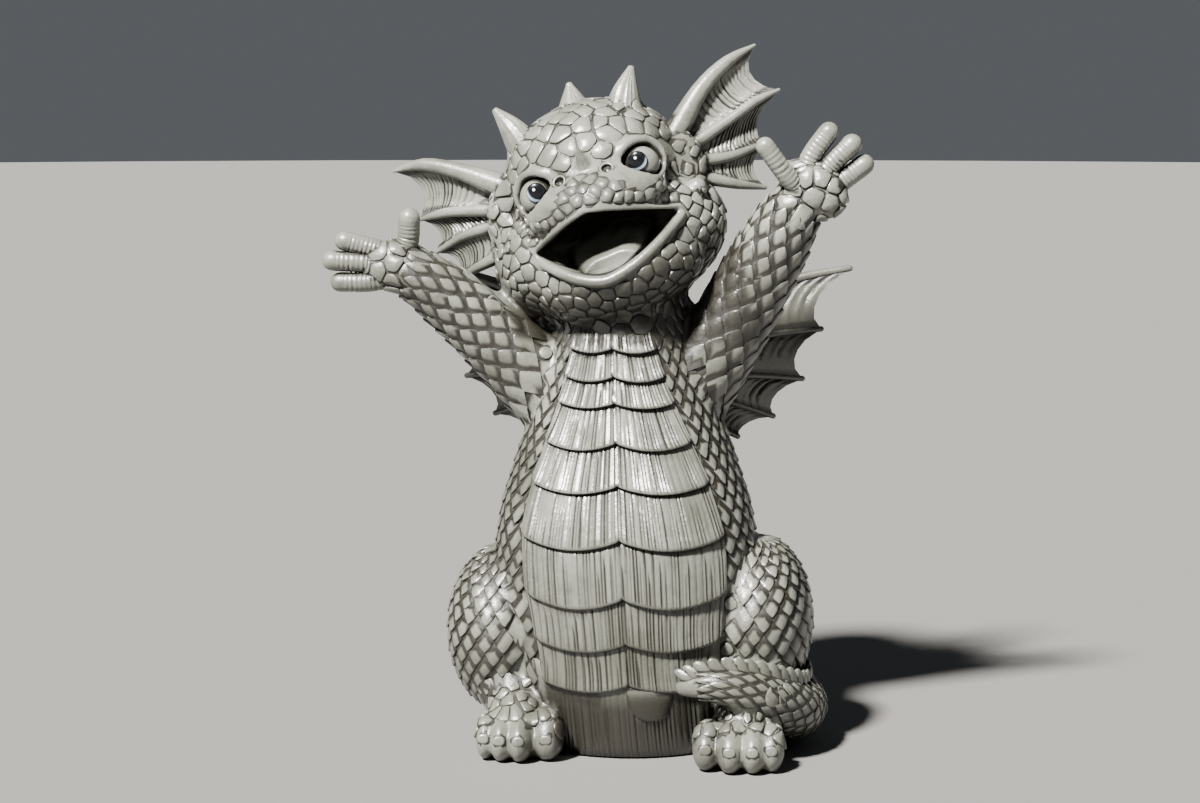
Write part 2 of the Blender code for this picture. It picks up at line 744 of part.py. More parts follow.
def build():
    for obj in list(bpy.data.objects):
        bpy.data.objects.remove(obj)
    dragon = joined("dragon", big_forms())
    skinned(dragon, ROUGH_VOXEL, ROUGH_SMOOTH)
    eye_sockets_and_mouth(dragon)
    dragon = joined("dragon", [dragon] + small_forms())
    skinned(dragon, FINE_VOXEL, FINE_SMOOTH)
    apply_modifier(dragon, "DECIMATE", ratio=TRIANGLES / (2 * len(dragon.data.polygons)))
    flatten_underside(dragon)
    grey = resin("resin_grey", RESIN_COLOUR, RESIN_ROUGHNESS)
    black = resin("eye_black", EYE_COLOUR, EYE_ROUGHNESS)
    for side, name in ((-1, "left_eye"), (1, "right_eye")):
        cut(dragon, iris_solid("pocket", side, IRIS + FIT_GAP, POCKET_PROUD, IRIS_SINK + FIT_GAP))
        eye = iris_solid(name, side, IRIS, IRIS_DOME, IRIS_SINK)
        eye.data.materials.append(black)
    dragon.data.materials.clear()
    dragon.data.materials.append(grey)


build()
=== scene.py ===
"""Garden dragon in cast grey resin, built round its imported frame, with a floor, light and a camera.

Lengths in the code are millimetres and are turned into metres when a mesh is made. The dragon faces -Y and
stands on z = 0. Its smooth body is made first, then the relief is laid on it piece by piece and joined to it.
"""

import itertools
import math
import random

import bpy
import numpy as np
from mathutils import Matrix, Vector
from mathutils.bvhtree import BVHTree
from mathutils.kdtree import KDTree


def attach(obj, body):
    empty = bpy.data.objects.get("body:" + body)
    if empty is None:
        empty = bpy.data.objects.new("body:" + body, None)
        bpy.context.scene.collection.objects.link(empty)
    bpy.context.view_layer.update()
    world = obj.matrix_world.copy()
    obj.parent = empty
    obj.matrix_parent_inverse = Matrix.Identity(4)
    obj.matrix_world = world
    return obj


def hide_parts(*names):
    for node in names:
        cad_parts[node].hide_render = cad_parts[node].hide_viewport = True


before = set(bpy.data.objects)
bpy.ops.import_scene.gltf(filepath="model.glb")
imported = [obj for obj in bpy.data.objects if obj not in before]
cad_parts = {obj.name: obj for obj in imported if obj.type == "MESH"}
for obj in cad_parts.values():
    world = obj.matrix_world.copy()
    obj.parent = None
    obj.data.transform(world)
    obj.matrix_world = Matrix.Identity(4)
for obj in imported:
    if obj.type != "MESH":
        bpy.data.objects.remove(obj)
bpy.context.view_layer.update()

bl_info = {
    "name": "Garden Dragon",
    "version": (1, 0, 0),
    "blender": (4, 5, 0),
    "location": "View3D > Sidebar > Dragon",
    "description": "Builds a cast resin garden dragon round its packed frame",
    "category": "Object",
}

MM = 0.001
UPWARD = Vector((0, 0, 1))
# rays at the front run this way, on the head from this far before its middle
INWARD = Vector((0, 1, 0))
IN_FRONT = 60

# sculpting grid and triangle budget of the one casting
ROUGH_VOXEL = 1.5
FINE_VOXEL = 0.8
LEAST_BODY = 30000
MOST_TRIANGLES = 198000

# torso: height, half width, y of the axis; depth is a share of the width
TORSO = (
    (-4, 36.0, 0.0),
    (12, 41.5, -1.0),
    (38, 46.6, -2.0),
    (64, 48.2, -2.0),
    (86, 46.6, -1.0),
    (110, 39.3, 1.0),
    (134, 31.5, 2.0),
    (156, 25.5, 2.0),
    (178, 21.0, 1.0),
)
TORSO_DEPTH = 0.885
TORSO_LEAN = -0.012
TORSO_SIDES = 64
NECK = (((0, 3, 148), (-4, 2, 166), (-9, 2, 186)), (25, 24, 26))
HIPS = ((0, 6, 17), (44, 37, 25))

# belly plates: cusp heights of their two-lobed lower edges
PLATE_CUSPS = (158.0, 149.5, 139.5, 130.0, 116.0, 101.0, 82.0, 61.0, 44.3, 28.8)
PLATE_SAG = 0.21
PLATE_TUCK = 2.5
PLATE_ROOT = 3.0
PLATE_CENTRE = 4.9
PLATE_CENTRE_SLOPE = -0.062
PLATE_WAIST = (28.0, 75.0, 160.0)
PLATE_HALF = (31.5, 36.5, 14.5)
PLATE_ROWS = (0.0, 0.2, 0.42, 0.64, 0.82, 0.92, 0.975, 1.0)
GROOVE_PITCH = 0.56
# folds under the last plate, and the small rounded plate on them: its top, drop, half width and place
FOLD_ROWS = (0.0, 0.2, 0.45, 0.7, 0.9, 1.0)
FOLD_TOP = 31.0
SMALL_PLATE = (31.5, 16.5, 8.6, 7.0)

# legs
HAUNCH_RADII = (20.5, 31.0, 31.0)
HAUNCHES = {-1: (-47.0, 0.0, 42.0), 1: (47.6, 0.0, 46.5)}
SHINS = {
    -1: (((-46, -12, 28), (-41, -24, 18), (-38, -34, 12)), (12, 10, 9)),
    1: (((48, -14, 32), (46, -30, 18), (43.5, -44, 10)), (14, 12, 10)),
}
TOES = {-1: (-49.6, -43.6, -36.6, -27.0), 1: (31.6, 40.4, 48.6, 55.2)}
TOE_RADII = {-1: (3.6, 4.3, 4.7, 6.2), 1: (5.0, 5.0, 4.9, 4.6)}
TOE_FRONT = {-1: -50.0, 1: -61.0}
FOOT_HEEL = {-1: -32.0, 1: -42.0}
FOOT_TOP = {-1: 21.5, 1: 19.5}

# arms: shoulder to wrist
ARMS = {
    -1: ((-18, 6, 118), (-32, 2, 134), (-53.5, -2, 155), (-76, -9, 173.5), (-84, -11, 177)),
    1: ((15, 6, 122), (27.5, 2, 141), (43, -2, 167), (54.5, -7, 188.5), (62, -10, 202)),
}
ARM_RADII = {-1: (17.0, 15.5, 13.2, 9.8, 8.5), 1: (16.5, 15.2, 13.6, 12.2, 9.6)}

# head: right, up and forward of this point, leaning about the line of sight
HEAD_AT = (-13.6, 0.0, 211.6)
HEAD_TILT = math.radians(17.5)
# round forms of the head: right, up and forward of their centres, then their radii
HEAD_FORMS = (
    ("cranium", (0, 1.0, -8), (33.5, 26.5, 35)),
    ("jaw", (-1.8, -26.0, -6), (44.2, 27.5, 36)),
    ("muzzle", (0, -9.0, 19), (26.5, 12.5, 19)),
    ("chin", (0, -37.0, 13), (31.0, 15.5, 22)),
    ("nape", (0, -13.0, -14), (35.0, 34.0, 31)),
)
EYE_SPREAD = 19.8
EYE_UP = -0.7
EYE_FORWARD = 16.5
EYEBALL = 7.9
BARE_EYEBALL = 6.6
SOCKET = (7.9, 7.9, 8.2)
IRIS_SPREAD = 19.3
IRIS_UP = 0.4
IRIS = 3.6
IRIS_DOME = 1.15
# highlight painted on the pupil: its radius, and its place from the middle of the insert
PAINTED_GLINT = 0.62
PAINTED_GLINT_AT = (-0.8, 0.0, 1.15)
NOSTRIL_HOLE = (2.1, 2.4, 2.1)
NOSTRILS = ((-9.8, 1.5), (8.1, 1.1))
CHEEK_BUMPS = ((-33.2, -17.3, 12.0, 3.9), (36.0, -15.3, 7.4, 3.4))
MOUTH_PEAK = -3.0
MOUTH_REACH = {-1: 24.4, 1: 32.0}
MOUTH_TOP = -11.3
MOUTH_BOTTOM = -35.4
MOUTH_CORNER = -20.8
UPPER_CURVE = 1.25
LOWER_CURVE = 1.6
MOUTH_AXIS = -22.5
MOUTH_DEPTHS = ((60, 1.05), (37, 1.0), (26, 0.99), (16, 0.95), (9, 0.84), (3, 0.6), (0, 0.3))
MOUTH_STEPS = 22
# lips: forward place, radius, shift up and how far the corners lie back
UPPER_LIP = (37.0, 1.2, 0.7, 17.5)
LOWER_LIP = (35.2, 2.3, -1.9, 15.0)
LIP_SWEEP = 2.3
# tongue: forward place, half width, top, bottom and how pointed the sides of its rings are
TONGUE = (
    (2, 17.0, -18.5, -36.0, 0.6),
    (10, 16.5, -20.4, -36.5, 0.7),
    (18, 14.6, -22.8, -36.5, 0.9),
    (25, 11.8, -25.6, -36.3, 1.2),
    (28.8, 10.8, -27.0, -35.9, 1.6),
    (30.2, 10.6, -27.4, -35.6, 1.7),
    (30.8, 10.0, -28.0, -35.0, 1.7),
    (30.7, 8.6, -29.0, -34.2, 1.7),
    (30.3, 5.0, -30.4, -33.2, 1.6),
)
TONGUE_SIDES = 24
# bare skin kept between the mouth, the eyes, the nostrils or the nose horn and the first plates
UPPER_BAND = 1.5
LOWER_BAND = 4.0
EYE_RIM = 9.9
EYE_UNDER_RIM = 8.6
NOSTRIL_RIM = 3.0
NOSE_HORN_RIM = (0.3, 5.2, 3.6)
RIM_SPACING = 1.2
# flat plates: spacing on palms and insteps, reach of a palm, and the share of two spacings they keep apart
PALM_SPACING = 6.2
INSTEP_SPACING = 4.4
PALM_REACH = 14.5
CROWDED = 0.45
# cell sizes of the grids in which the plate centres near a place are looked up
SEED_CELL = 7.0
OUTLINE_CELL = 13.0
# spacing from which a flat plate has cut corners, and from which it has a bevel
CUT_CORNERS = 4.1
BEVELLED = 4.2
# horns: right, up and forward on the head, with their radii; the nose horn last
HORNS = (
    (((-19.7, 12.0, -1), (-21.4, 18.0, -1), (-24.0, 25.5, -1.5), (-27.8, 33.3, -3.5)), (8.6, 6.4, 4.3, 1.15)),
    (((15.8, 12.5, -1), (17.8, 18.5, -1), (20.6, 25.5, -1.5), (24.8, 33.2, -3.5)), (9.6, 7.3, 4.9, 1.15)),
    (((-1.5, 16, -18), (-1.4, 21, -20), (-1.2, 27, -21.3), (-0.6, 34.6, -22.5)), (11.0, 8.8, 5.6, 1.1)),
    (((0.2, 3.5, 24), (0.4, 6.5, 27), (-0.6, 11.6, 30.5)), (3.4, 2.3, 0.6)),
)
CROWN = 3

# ears: stops of four ribs each, from the head to the tips
EARS = {
    -1: (
        ((-46.0, 3, 206.5), (-63.5, 8, 212.2), (-78.7, 13, 214.8), (-90.7, 17, 212.1)),
        ((-46.0, 3, 198.5), (-65.9, 9, 197.4), (-73.7, 13, 196.0), (-80.4, 16, 194.0)),
        ((-46.0, 3, 193.5), (-61.4, 8, 188.9), (-74.7, 15, 181.5)),
        ((-45.0, 3, 183.0), (-57.8, 8, 176.5), (-65.1, 13, 171.9)),
    ),
    1: (
        ((15.5, 3, 224.5), (25.3, 8, 242.7), (35.1, 13, 253.1), (45.1, 17, 259.3)),
        ((19.5, 3, 220.3), (35.3, 9, 231.2), (45.6, 13, 238.6), (54.2, 17, 242.8)),
        ((22.5, 3, 216.5), (37.0, 9, 218.5), (48.9, 16, 223.2)),
        ((24.0, 3, 211.5), (38.7, 8, 208.2), (49.4, 14, 206.7)),
    ),
}
EAR_RADII = ((5.2, 3.3, 2.4, 0.6), (2.8, 2.0, 1.7, 0.7), (2.6, 1.9, 0.9), (2.8, 1.9, 0.9))
EAR_FLARES = {
    -1: ((-46.5, 2.0, 197.5), (7.0, 5.5, 14.0), 4),
    1: ((20.5, 2.0, 218.0), (7.0, 5.5, 12.0), -22),
}
EAR_DIP = 0.2

# wings: five ribs each from the shoulder blades
WING_TIPS = (
    (82.0, 38.0, 175.0),
    (71.5, 35.0, 152.0),
    (64.5, 34.0, 133.0),
    (53.5, 34.0, 118.5),
    (40.0, 34.0, 110.5),
)
WING_ROOTS = (
    (14.0, 20.0, 142.0),
    (15.0, 21.0, 138.0),
    (15.0, 21.0, 133.0),
    (15.0, 21.0, 128.0),
    (14.0, 21.0, 122.0),
)
WING_ARCH = (9.0, 4.0, 2.0, 2.0, 1.0)
WING_RIB_RADII = ((4.2, 1.3), (2.6, 1.1), (2.5, 1.1), (2.5, 1.1), (2.5, 1.1))
WING_DIP = 0.14
MEMBRANE = 2.3
CREASE_DEPTH = 0.6

# tail: round the right foot to the front
TAIL = (
    (-4, 26, 24),
    (22, 40, 15),
    (47, 29, 13.5),
    (61, 6, 14),
    (62, -16, 16),
    (56, -32, 21.5),
    (46, -43, 27.5),
    (35, -48.5, 31),
    (23, -47.5, 29.5),
)
TAIL_RADII = (20.0, 15.5, 13.6, 12.0, 10.4, 9.2, 8.0, 6.2, 3.6)

# fingers: path and radius, the thumb last
FINGERS = {
    -1: (
        (((-85, -11, 182), (-95, -12, 185), (-104.5, -13.5, 187.7)), 3.8),
        (((-86, -12, 179), (-96, -12.5, 179.6), (-109.0, -14, 180.4)), 3.9),
        (((-86, -12, 175), (-95, -12.5, 172.6), (-106.2, -13, 172.4)), 3.8),
        (((-84, -11, 180), (-81, -12, 188), (-80.2, -14, 196)), 4.2),
    ),
    1: (
        (((65, -12, 207), (66.5, -12.5, 218), (73.2, -12.5, 228)), 3.9),
        (((68, -12, 207), (74, -12.5, 216), (81.6, -12.5, 223.6)), 4.0),
        (((70, -11, 205), (79, -11, 211), (86.0, -11, 216.2)), 4.0),
        (((65, -12, 206), (59, -17, 211.5), (50.6, -20.5, 223.0)), 3.6),
    ),
}
PALMS = {
    -1: ((-86.5, -11.5, 178.6), (12.0, 6.6, 9.4), 0),
    1: ((68.3, -11.5, 207.5), (13.0, 7.2, 10.4), 38),
}
WRINKLE_PITCH = 1.45
NAIL_HEIGHT = 8.9
NAIL = (4.2, 3.5)

# lapped scales on the limbs: the shares of the length they cover, their size, and the reach of the rays
ARM_SCALES = {"first": 0.12, "last": 1.0, "wide": 7.6, "long": 11.6, "span": 3.2}
TAIL_SCALES = {"first": 0.16, "last": 0.97, "wide": 6.0, "long": 8.4, "span": 2.2}
SHIN_SCALES = {"first": 0.0, "last": 0.7, "wide": 6.4, "long": 8.6, "span": 3.4}
# rows and columns of them on a haunch and on the trunk, and half their length there
HAUNCH_ROWS = (19, 19)
TRUNK_ROWS = (35, 36)
HALF_SCALE = 4.9
# places of a lapped scale's points from its root corner, 0, to its free corner, 1
TILE_STEPS = (-0.14, 0.42, 0.88, 1.0)
SMALL_TILE_STEPS = (-0.16, 0.8, 1.0)
# depth of a scale's root under the skin
SCALE_ROOT = 0.9
# a point of the relief is never lower than this
LOWEST = 0.02
# rays that tell how shut in a point is: rays in a set, sets taken in turn, and turn from ray to ray
RAYS = 9
RAY_SETS = 16
RAY_TURN = 2.4

# relief pieces, with the angle from which their edges stay sharp
RELIEF = (
    ("dragon_belly", 20),
    ("dragon_scales", 50),
    ("dragon_head_relief", 78),
    ("dragon_fins", 55),
    ("dragon_horns", 34),
    ("dragon_digits", 50),
    ("eyeball_-1", 60),
    ("eyeball_1", 60),
)
BODY_ANGLE = 60

# floor, in metres: its radius and how far it lies under the dragon
FLOOR_RADIUS = 6.0
FLOOR_DROP = 0.0002
# key light, in degrees: how wide it looks, and its tilt and turn
SUN_WIDE = 7
SUN_TILT = 43
SUN_TURN = -29
# camera, in metres and degrees: lens, distance, shift aside, height, turn and downward pitch
LENS = 90
CAMERA_AWAY = 1.11
CAMERA_ASIDE = 0.011
CAMERA_HEIGHT = 0.2575
CAMERA_TURN = 5
CAMERA_PITCH = 6.68


class DragonSizes(bpy.types.PropertyGroup):
    """Depths of the relief"""

    scale_lift: bpy.props.FloatProperty(
        name="Scale lift",
        description="Height of a lapped scale's free edge",
        default=1.5 * MM,
        unit="LENGTH",
        precision=5,
    )
    plate_lift: bpy.props.FloatProperty(
        name="Belly plate lift",
        description="Height of a belly plate's lower edge",
        default=1.9 * MM,
        unit="LENGTH",
        precision=5,
    )
    groove_depth: bpy.props.FloatProperty(
        name="Belly groove depth",
        description="Depth of the upright grooves on the belly",
        default=0.5 * MM,
        unit="LENGTH",
        precision=5,
    )
    crack_width: bpy.props.FloatProperty(
        name="Crack width",
        description="Gap between the flat plates of the head",
        default=0.24 * MM,
        unit="LENGTH",
        precision=5,
    )
    head_plate_lift: bpy.props.FloatProperty(
        name="Head plate lift",
        description="Height of the flat plates of the head",
        default=0.66 * MM,
        unit="LENGTH",
        precision=5,
    )
    wrinkle_depth: bpy.props.FloatProperty(
        name="Finger wrinkle depth",
        description="Depth of the rings round the fingers",
        default=0.34 * MM,
        unit="LENGTH",
        precision=5,
    )
    # how far the rays reach that give the crevices their painted shade and wash
    shade_and_wash_reach: bpy.props.FloatProperty(
        name="Wash reach",
        description="How far from a crevice the dark wash reaches",
        default=3.0 * MM,
        unit="LENGTH",
        precision=5,
    )


class DragonColours(bpy.types.PropertyGroup):
    """Colours of the resin, its wash and painted shade, and the eyes with their painted reflection and
    highlight
    """

    resin: bpy.props.FloatVectorProperty(
        name="Resin",
        description="Stone grey of the casting",
        subtype="COLOR",
        default=(0.165, 0.168, 0.147),
    )
    shade: bpy.props.FloatVectorProperty(
        name="Darker resin",
        description="Tone of the casting's darker patches",
        subtype="COLOR",
        default=(0.085, 0.087, 0.07),
    )
    # dark wash, also the colour of the painted shade in crevices, hollows, the mouth and under the jaw
    wash_and_shade: bpy.props.FloatVectorProperty(
        name="Wash",
        description="Dark wash in the crevices",
        subtype="COLOR",
        default=(0.0085, 0.0072, 0.0045),
    )
    worn: bpy.props.FloatVectorProperty(
        name="Worn edge",
        description="Pale rubbed edges",
        subtype="COLOR",
        default=(0.42, 0.43, 0.40),
    )
    pupil: bpy.props.FloatVectorProperty(
        name="Pupil",
        description="Black of the eye",
        subtype="COLOR",
        default=(0.004, 0.004, 0.005),
    )
    # the iris, nearly black, and at full strength the painted reflection on one side of it
    iris_and_reflection: bpy.props.FloatVectorProperty(
        name="Eye ring",
        description="Blue-grey ring of the eye",
        subtype="COLOR",
        default=(0.2, 0.25, 0.31),
    )
    # painted highlight high on the pupil
    painted_glint: bpy.props.FloatVectorProperty(
        name="Eye fleck",
        description="Pale fleck high on the pupil",
        subtype="COLOR",
        default=(0.8, 0.84, 0.88),
    )


class DragonStage(bpy.types.PropertyGroup):
    """Floor and light"""

    floor: bpy.props.FloatVectorProperty(
        name="Floor",
        description="Pale floor",
        subtype="COLOR",
        default=(0.122, 0.119, 0.114),
    )
    sun: bpy.props.FloatProperty(
        name="Key light",
        description="Strength of the key light",
        default=25.0,
        min=0.0,
    )
    sky: bpy.props.FloatProperty(
        name="Fill light",
        description="Strength of the light from all round",
        default=0.13,
        min=0.0,
    )


def curve_at(stops, place):
    """Catmull-Rom through the stops, tuples of any length, at place 0 to 1."""
    spans = len(stops) - 1
    scaled = min(max(place, 0.0), 1.0) * spans
    first = min(int(scaled), spans - 1)
    t = scaled - first
    before = stops[max(first - 1, 0)]
    start = stops[first]
    end = stops[first + 1]
    after = stops[min(first + 2, spans)]
    return [
        0.5 * (2 * b + (c - a) * t + (2 * a - 5 * b + 4 * c - d) * t * t + (3 * b - a - 3 * c + d) * t ** 3)
        for a, b, c, d in zip(before, start, end, after)
    ]


def number_at(numbers, place):
    """The smooth curve through a row of numbers, at place 0 to 1."""
    return curve_at([(number,) for number in numbers], place)[0]


def ramp(value, low, high):
    """Smooth rise from 0 at low to 1 at high."""
    share = min(max((value - low) / (high - low), 0.0), 1.0)
    return share * share * (3 - 2 * share)


def on_circle(step, count):
    """The angle of one of count even steps round a full turn."""
    return math.tau * step / count


def column(items, key, wide=1, kind=np.float32):
    """One value, or wide values, of each item of a mesh's vertices, edges or faces, as an array."""
    values = np.empty(len(items) * wide, kind)
    items.foreach_get(key, values)
    return values.reshape(-1, wide) if wide > 1 else values


def put(name, points, faces):
    """A mesh object from points in millimetres."""
    mesh = bpy.data.meshes.new(name)
    mesh.from_pydata([Vector(point) * MM for point in points], [], faces)
    mesh.update()
    obj = bpy.data.objects.new(name, mesh)
    bpy.context.scene.collection.objects.link(obj)
    return obj


class Heap:
    """Points and faces of many small closed shells, gathered for one mesh."""

    def __init__(self):
        self.points = []
        self.faces = []
        self.tones = []

    def add(self, points, faces, tones=None):
        start = len(self.points)
        self.points.extend(points)
        self.tones.extend(tones or [0.0] * len(points))
        self.faces.extend(tuple(start + corner for corner in face) for face in faces)

    def made(self, name):
        """The mesh of the heap, with the painted shade and wash of its points in an attribute."""
        obj = put(name, self.points, self.faces)
        obj.data.attributes.new("painted_shade_and_wash", "FLOAT", "POINT").data.foreach_set("value", self.tones)
        return obj


def on_head(right, up, forward):
    """A point of the leaning head, from its own right, up and forward distances."""
    return Vector(
        (
            HEAD_AT[0] + right * math.cos(HEAD_TILT) - up * math.sin(HEAD_TILT),
            HEAD_AT[1] - forward,
            HEAD_AT[2] + right * math.sin(HEAD_TILT) + up * math.cos(HEAD_TILT),
        )
    )


def head_path(places):
    return [on_head(*place) for place in places]


def head_place(point):
    """(right, up, forward) on the head of a point."""
    x, z = point[0] - HEAD_AT[0], point[2] - HEAD_AT[2]
    right = x * math.cos(HEAD_TILT) + z * math.sin(HEAD_TILT)
    up = z * math.cos(HEAD_TILT) - x * math.sin(HEAD_TILT)
    return right, up, HEAD_AT[1] - point[1]


def ball(name, centre, radii, lean=0.0):
    """An ellipsoid, leaned about Y in degrees."""
    bpy.ops.object.select_all(action="DESELECT")
    bpy.ops.mesh.primitive_uv_sphere_add(segments=36, ring_count=20, radius=MM)
    obj = bpy.context.object
    obj.name = name
    turn = Matrix.Rotation(math.radians(lean), 4, "Y")
    obj.data.transform(Matrix.Translation(Vector(centre) * MM) @ turn @ Matrix.Diagonal((*radii, 1.0)))
    return obj


def head_ball(name, centre, radii):
    """An ellipsoid on the head: centre and radii right, up and forward."""
    return ball(name, on_head(*centre), (radii[0], radii[2], radii[1]), lean=-math.degrees(HEAD_TILT))


def bridged(first, second, count):
    """Faces between two closed loops of count points, which start at point first and at point second."""
    steps = range(count)
    return [(first + a, first + b, second + b, second + a) for a, b in zip(steps, [*steps[1:], 0])]


def stacked(loops):
    """Points and faces of a closed skin over a stack of loops, flat at both ends."""
    count = len(loops[0])
    points = [point for loop in loops for point in loop]
    faces = [tuple(reversed(range(count))), tuple(range(len(points) - count, len(points)))]
    for row in range(len(loops) - 1):
        faces += bridged(row * count, (row + 1) * count, count)
    return points, faces


def grid_faces(rows, wide):
    """Faces of a sheet of rows by wide points."""
    faces = []
    for row in range(rows - 1):
        for place in range(wide - 1):
            here = row * wide + place
            faces.append((here, here + wide, here + wide + 1, here + 1))
    return faces


def turned_out(points, faces):
    """The faces of a closed shell, turned over if they point inwards."""
    middle = sum(points, Vector()) / len(points)
    volume = 0.0
    for face in faces:
        first = points[face[0]] - middle
        for second, third in zip(face[1:], face[2:]):
            volume += first.dot((points[second] - middle).cross(points[third] - middle))
    return faces if volume > 0 else [tuple(reversed(face)) for face in faces]


def off_floor(points):
    return [Vector((p.x, p.y, max(p.z, LOWEST))) for p in points]


def ring_skin(frames, sides):
    """Points and faces of a closed skin over rings of (centre, across, over, radius)."""
    points = [frames[0][0]]
    for centre, across, over, radius in frames:
        for step in range(sides):
            angle = on_circle(step, sides)
            points.append(centre + (across * math.cos(angle) + over * math.sin(angle)) * radius)
    points.append(frames[-1][0])
    last = len(points) - 1
    faces = []
    for row in range(len(frames) - 1):
        faces += bridged(1 + row * sides, 1 + (row + 1) * sides, sides)
    for step in range(sides):
        following = (step + 1) % sides
        faces.append((0, 1 + following, 1 + step))
        faces.append((last, last - sides + step, last - sides + following))
    return points, faces


def limb_frames(path, radii, count):
    """(centre, across, over, radius) along a smooth path, with a frame that never twists."""
    stops = [(*point, radius) for point, radius in zip(path, radii)]
    places = [curve_at(stops, step / count) for step in range(count + 1)]
    points = [Vector(place[:3]) for place in places]
    over = Vector((0, 0, 1))
    frames = []
    for index, point in enumerate(points):
        ahead = points[min(index + 1, count)] - points[max(index - 1, 0)]
        ahead.normalize()
        if abs(over.dot(ahead)) > 0.95:
            over = Vector((1, 0, 0))
        over = (over - ahead * over.dot(ahead)).normalized()
        frames.append((point, over.cross(ahead), over, places[index][3]))
    return frames


def domed(frames, domes):
    """The frames with a rounded end added at both ends."""
    first, second, last, before = frames[0], frames[1], frames[-1], frames[-2]
    caps = []
    for (point, across, over, size), inner in ((first, second[0]), (last, before[0])):
        outward = (point - inner).normalized()
        cap = []
        for ring in range(1, domes + 1):
            angle = math.radians(88) * ring / domes
            cap.append((point + outward * size * math.sin(angle), across, over, size * math.cos(angle)))
        caps.append(cap)
    return caps[0][::-1] + frames + caps[1]


def limb(name, path, radii, sides=28, steps=6, domes=5):
    """A round limb along a smooth path, with domed ends."""
    frames = domed(limb_frames(path, radii, steps * (len(path) - 1)), domes)
    return put(name, *ring_skin(frames, sides))


def torso_ring(height):
    """(centre x, centre y, half width, half depth) of the torso at a height."""
    bottom, top = TORSO[0][0], TORSO[-1][0]
    low, high = 0.0, 1.0
    for _ in range(18):
        middle = (low + high) / 2
        if curve_at(TORSO, middle)[0] < height:
            low = middle
        else:
            high = middle
    _, half, axis = curve_at(TORSO, low)
    height = min(max(height, bottom), top)
    return TORSO_LEAN * height, axis, half, half * TORSO_DEPTH


def torso_point(angle, height, lift=0.0):
    """A point on the torso; angle 0 is the front, positive to image right."""
    x, y, half, depth = torso_ring(height)
    normal = Vector((math.sin(angle) / half, -math.cos(angle) / depth, 0)).normalized()
    return Vector((x + half * math.sin(angle), y - depth * math.cos(angle), height)) + normal * lift


def torso():
    frames = []
    low, high = TORSO[0][0], TORSO[-1][0]
    for step in range(int((high - low) / 2) + 1):
        height = low + step * 2.0
        x, y, half, depth = torso_ring(height)
        frames.append((Vector((x, y, height)), Vector((half, 0, 0)), Vector((0, depth, 0)), 1.0))
    return put("torso", *ring_skin(frames, TORSO_SIDES))


def activate(obj):
    bpy.ops.object.select_all(action="DESELECT")
    obj.select_set(True)
    bpy.context.view_layer.objects.active = obj


def joined(name, parts):
    bpy.ops.object.select_all(action="DESELECT")
    for part in parts:
        part.select_set(True)
    bpy.context.view_layer.objects.active = parts[0]
    bpy.ops.object.join()
    obj = bpy.context.object
    obj.name = name
    return obj


def apply_modifier(obj, kind, **settings):
    activate(obj)
    modifier = obj.modifiers.new(kind, kind)
    for key, value in settings.items():
        setattr(modifier, key, value)
    bpy.ops.object.modifier_apply(modifier=modifier.name)


def skinned(obj, voxel, smooth):
    """One skin over everything that overlaps, then softened."""
    apply_modifier(obj, "REMESH", mode="VOXEL", voxel_size=voxel * MM)
    apply_modifier(obj, "SMOOTH", factor=0.5, iterations=smooth)


def cut(obj, cutter):
    apply_modifier(obj, "BOOLEAN", operation="DIFFERENCE", solver="EXACT", object=cutter)
    bpy.data.objects.remove(cutter)


def outward_normals(obj):
    """Turns the faces of a closed mesh outwards, with the edit mode operator."""
    activate(obj)
    bpy.ops.object.mode_set(mode="EDIT")
    bpy.ops.mesh.select_all(action="SELECT")
    bpy.ops.mesh.normals_make_consistent(inside=False)
    bpy.ops.object.mode_set(mode="OBJECT")


def mouth_share(right):
    """How far towards a corner of the mouth a place lies: 0 at its peak, 1 at the corner."""
    away = right - MOUTH_PEAK
    return abs(away) / MOUTH_REACH[1 if away > 0 else -1]


def mouth_edge(right, middle, power):
    """Height of the mouth's outline on the head, from its middle height to the corner."""
    return middle + (MOUTH_CORNER - middle) * min(mouth_share(right), 1.0) ** power


def upper_edge(right):
    return mouth_edge(right, MOUTH_TOP, UPPER_CURVE)


def lower_edge(right):
    return mouth_edge(right, MOUTH_BOTTOM, LOWER_CURVE)


def mouth_right(share):
    """Place across the mouth for a share of -1 to 1."""
    return MOUTH_PEAK + share * MOUTH_REACH[1 if share > 0 else -1]


def mouth_plug():
    """The open mouth as a lens-shaped plug, narrowing towards the throat."""
    outline = []
    for step in range(MOUTH_STEPS + 1):
        right = mouth_right(2 * step / MOUTH_STEPS - 1)
        outline.append((right, upper_edge(right)))
    for step in range(1, MOUTH_STEPS):
        right = mouth_right(1 - 2 * step / MOUTH_STEPS)
        outline.append((right, lower_edge(right)))
    loops = []
    for forward, size in MOUTH_DEPTHS:
        loops.append([on_head(x * size, (up - MOUTH_AXIS) * size + MOUTH_AXIS, forward) for x, up in outline])
    plug = put("mouth_plug", *stacked(loops))
    outward_normals(plug)
    return plug


def lips():
    """A smooth band above the mouth and a thicker one below it, both swept back to the corners."""
    made = []
    shares = [step / 8 - 1 for step in range(17)]
    for name, edge, (front, radius, shift, back) in (
        ("upper_lip", upper_edge, UPPER_LIP),
        ("lower_lip", lower_edge, LOWER_LIP),
    ):
        path = []
        for share in shares:
            right = mouth_right(share)
            path.append(on_head(right, edge(right) + shift, front - back * abs(share) ** LIP_SWEEP))
        sizes = [radius * (1 - 0.35 * abs(share) ** 2) for share in shares]
        made.append(limb(name, path, sizes, sides=16, steps=2))
    return made


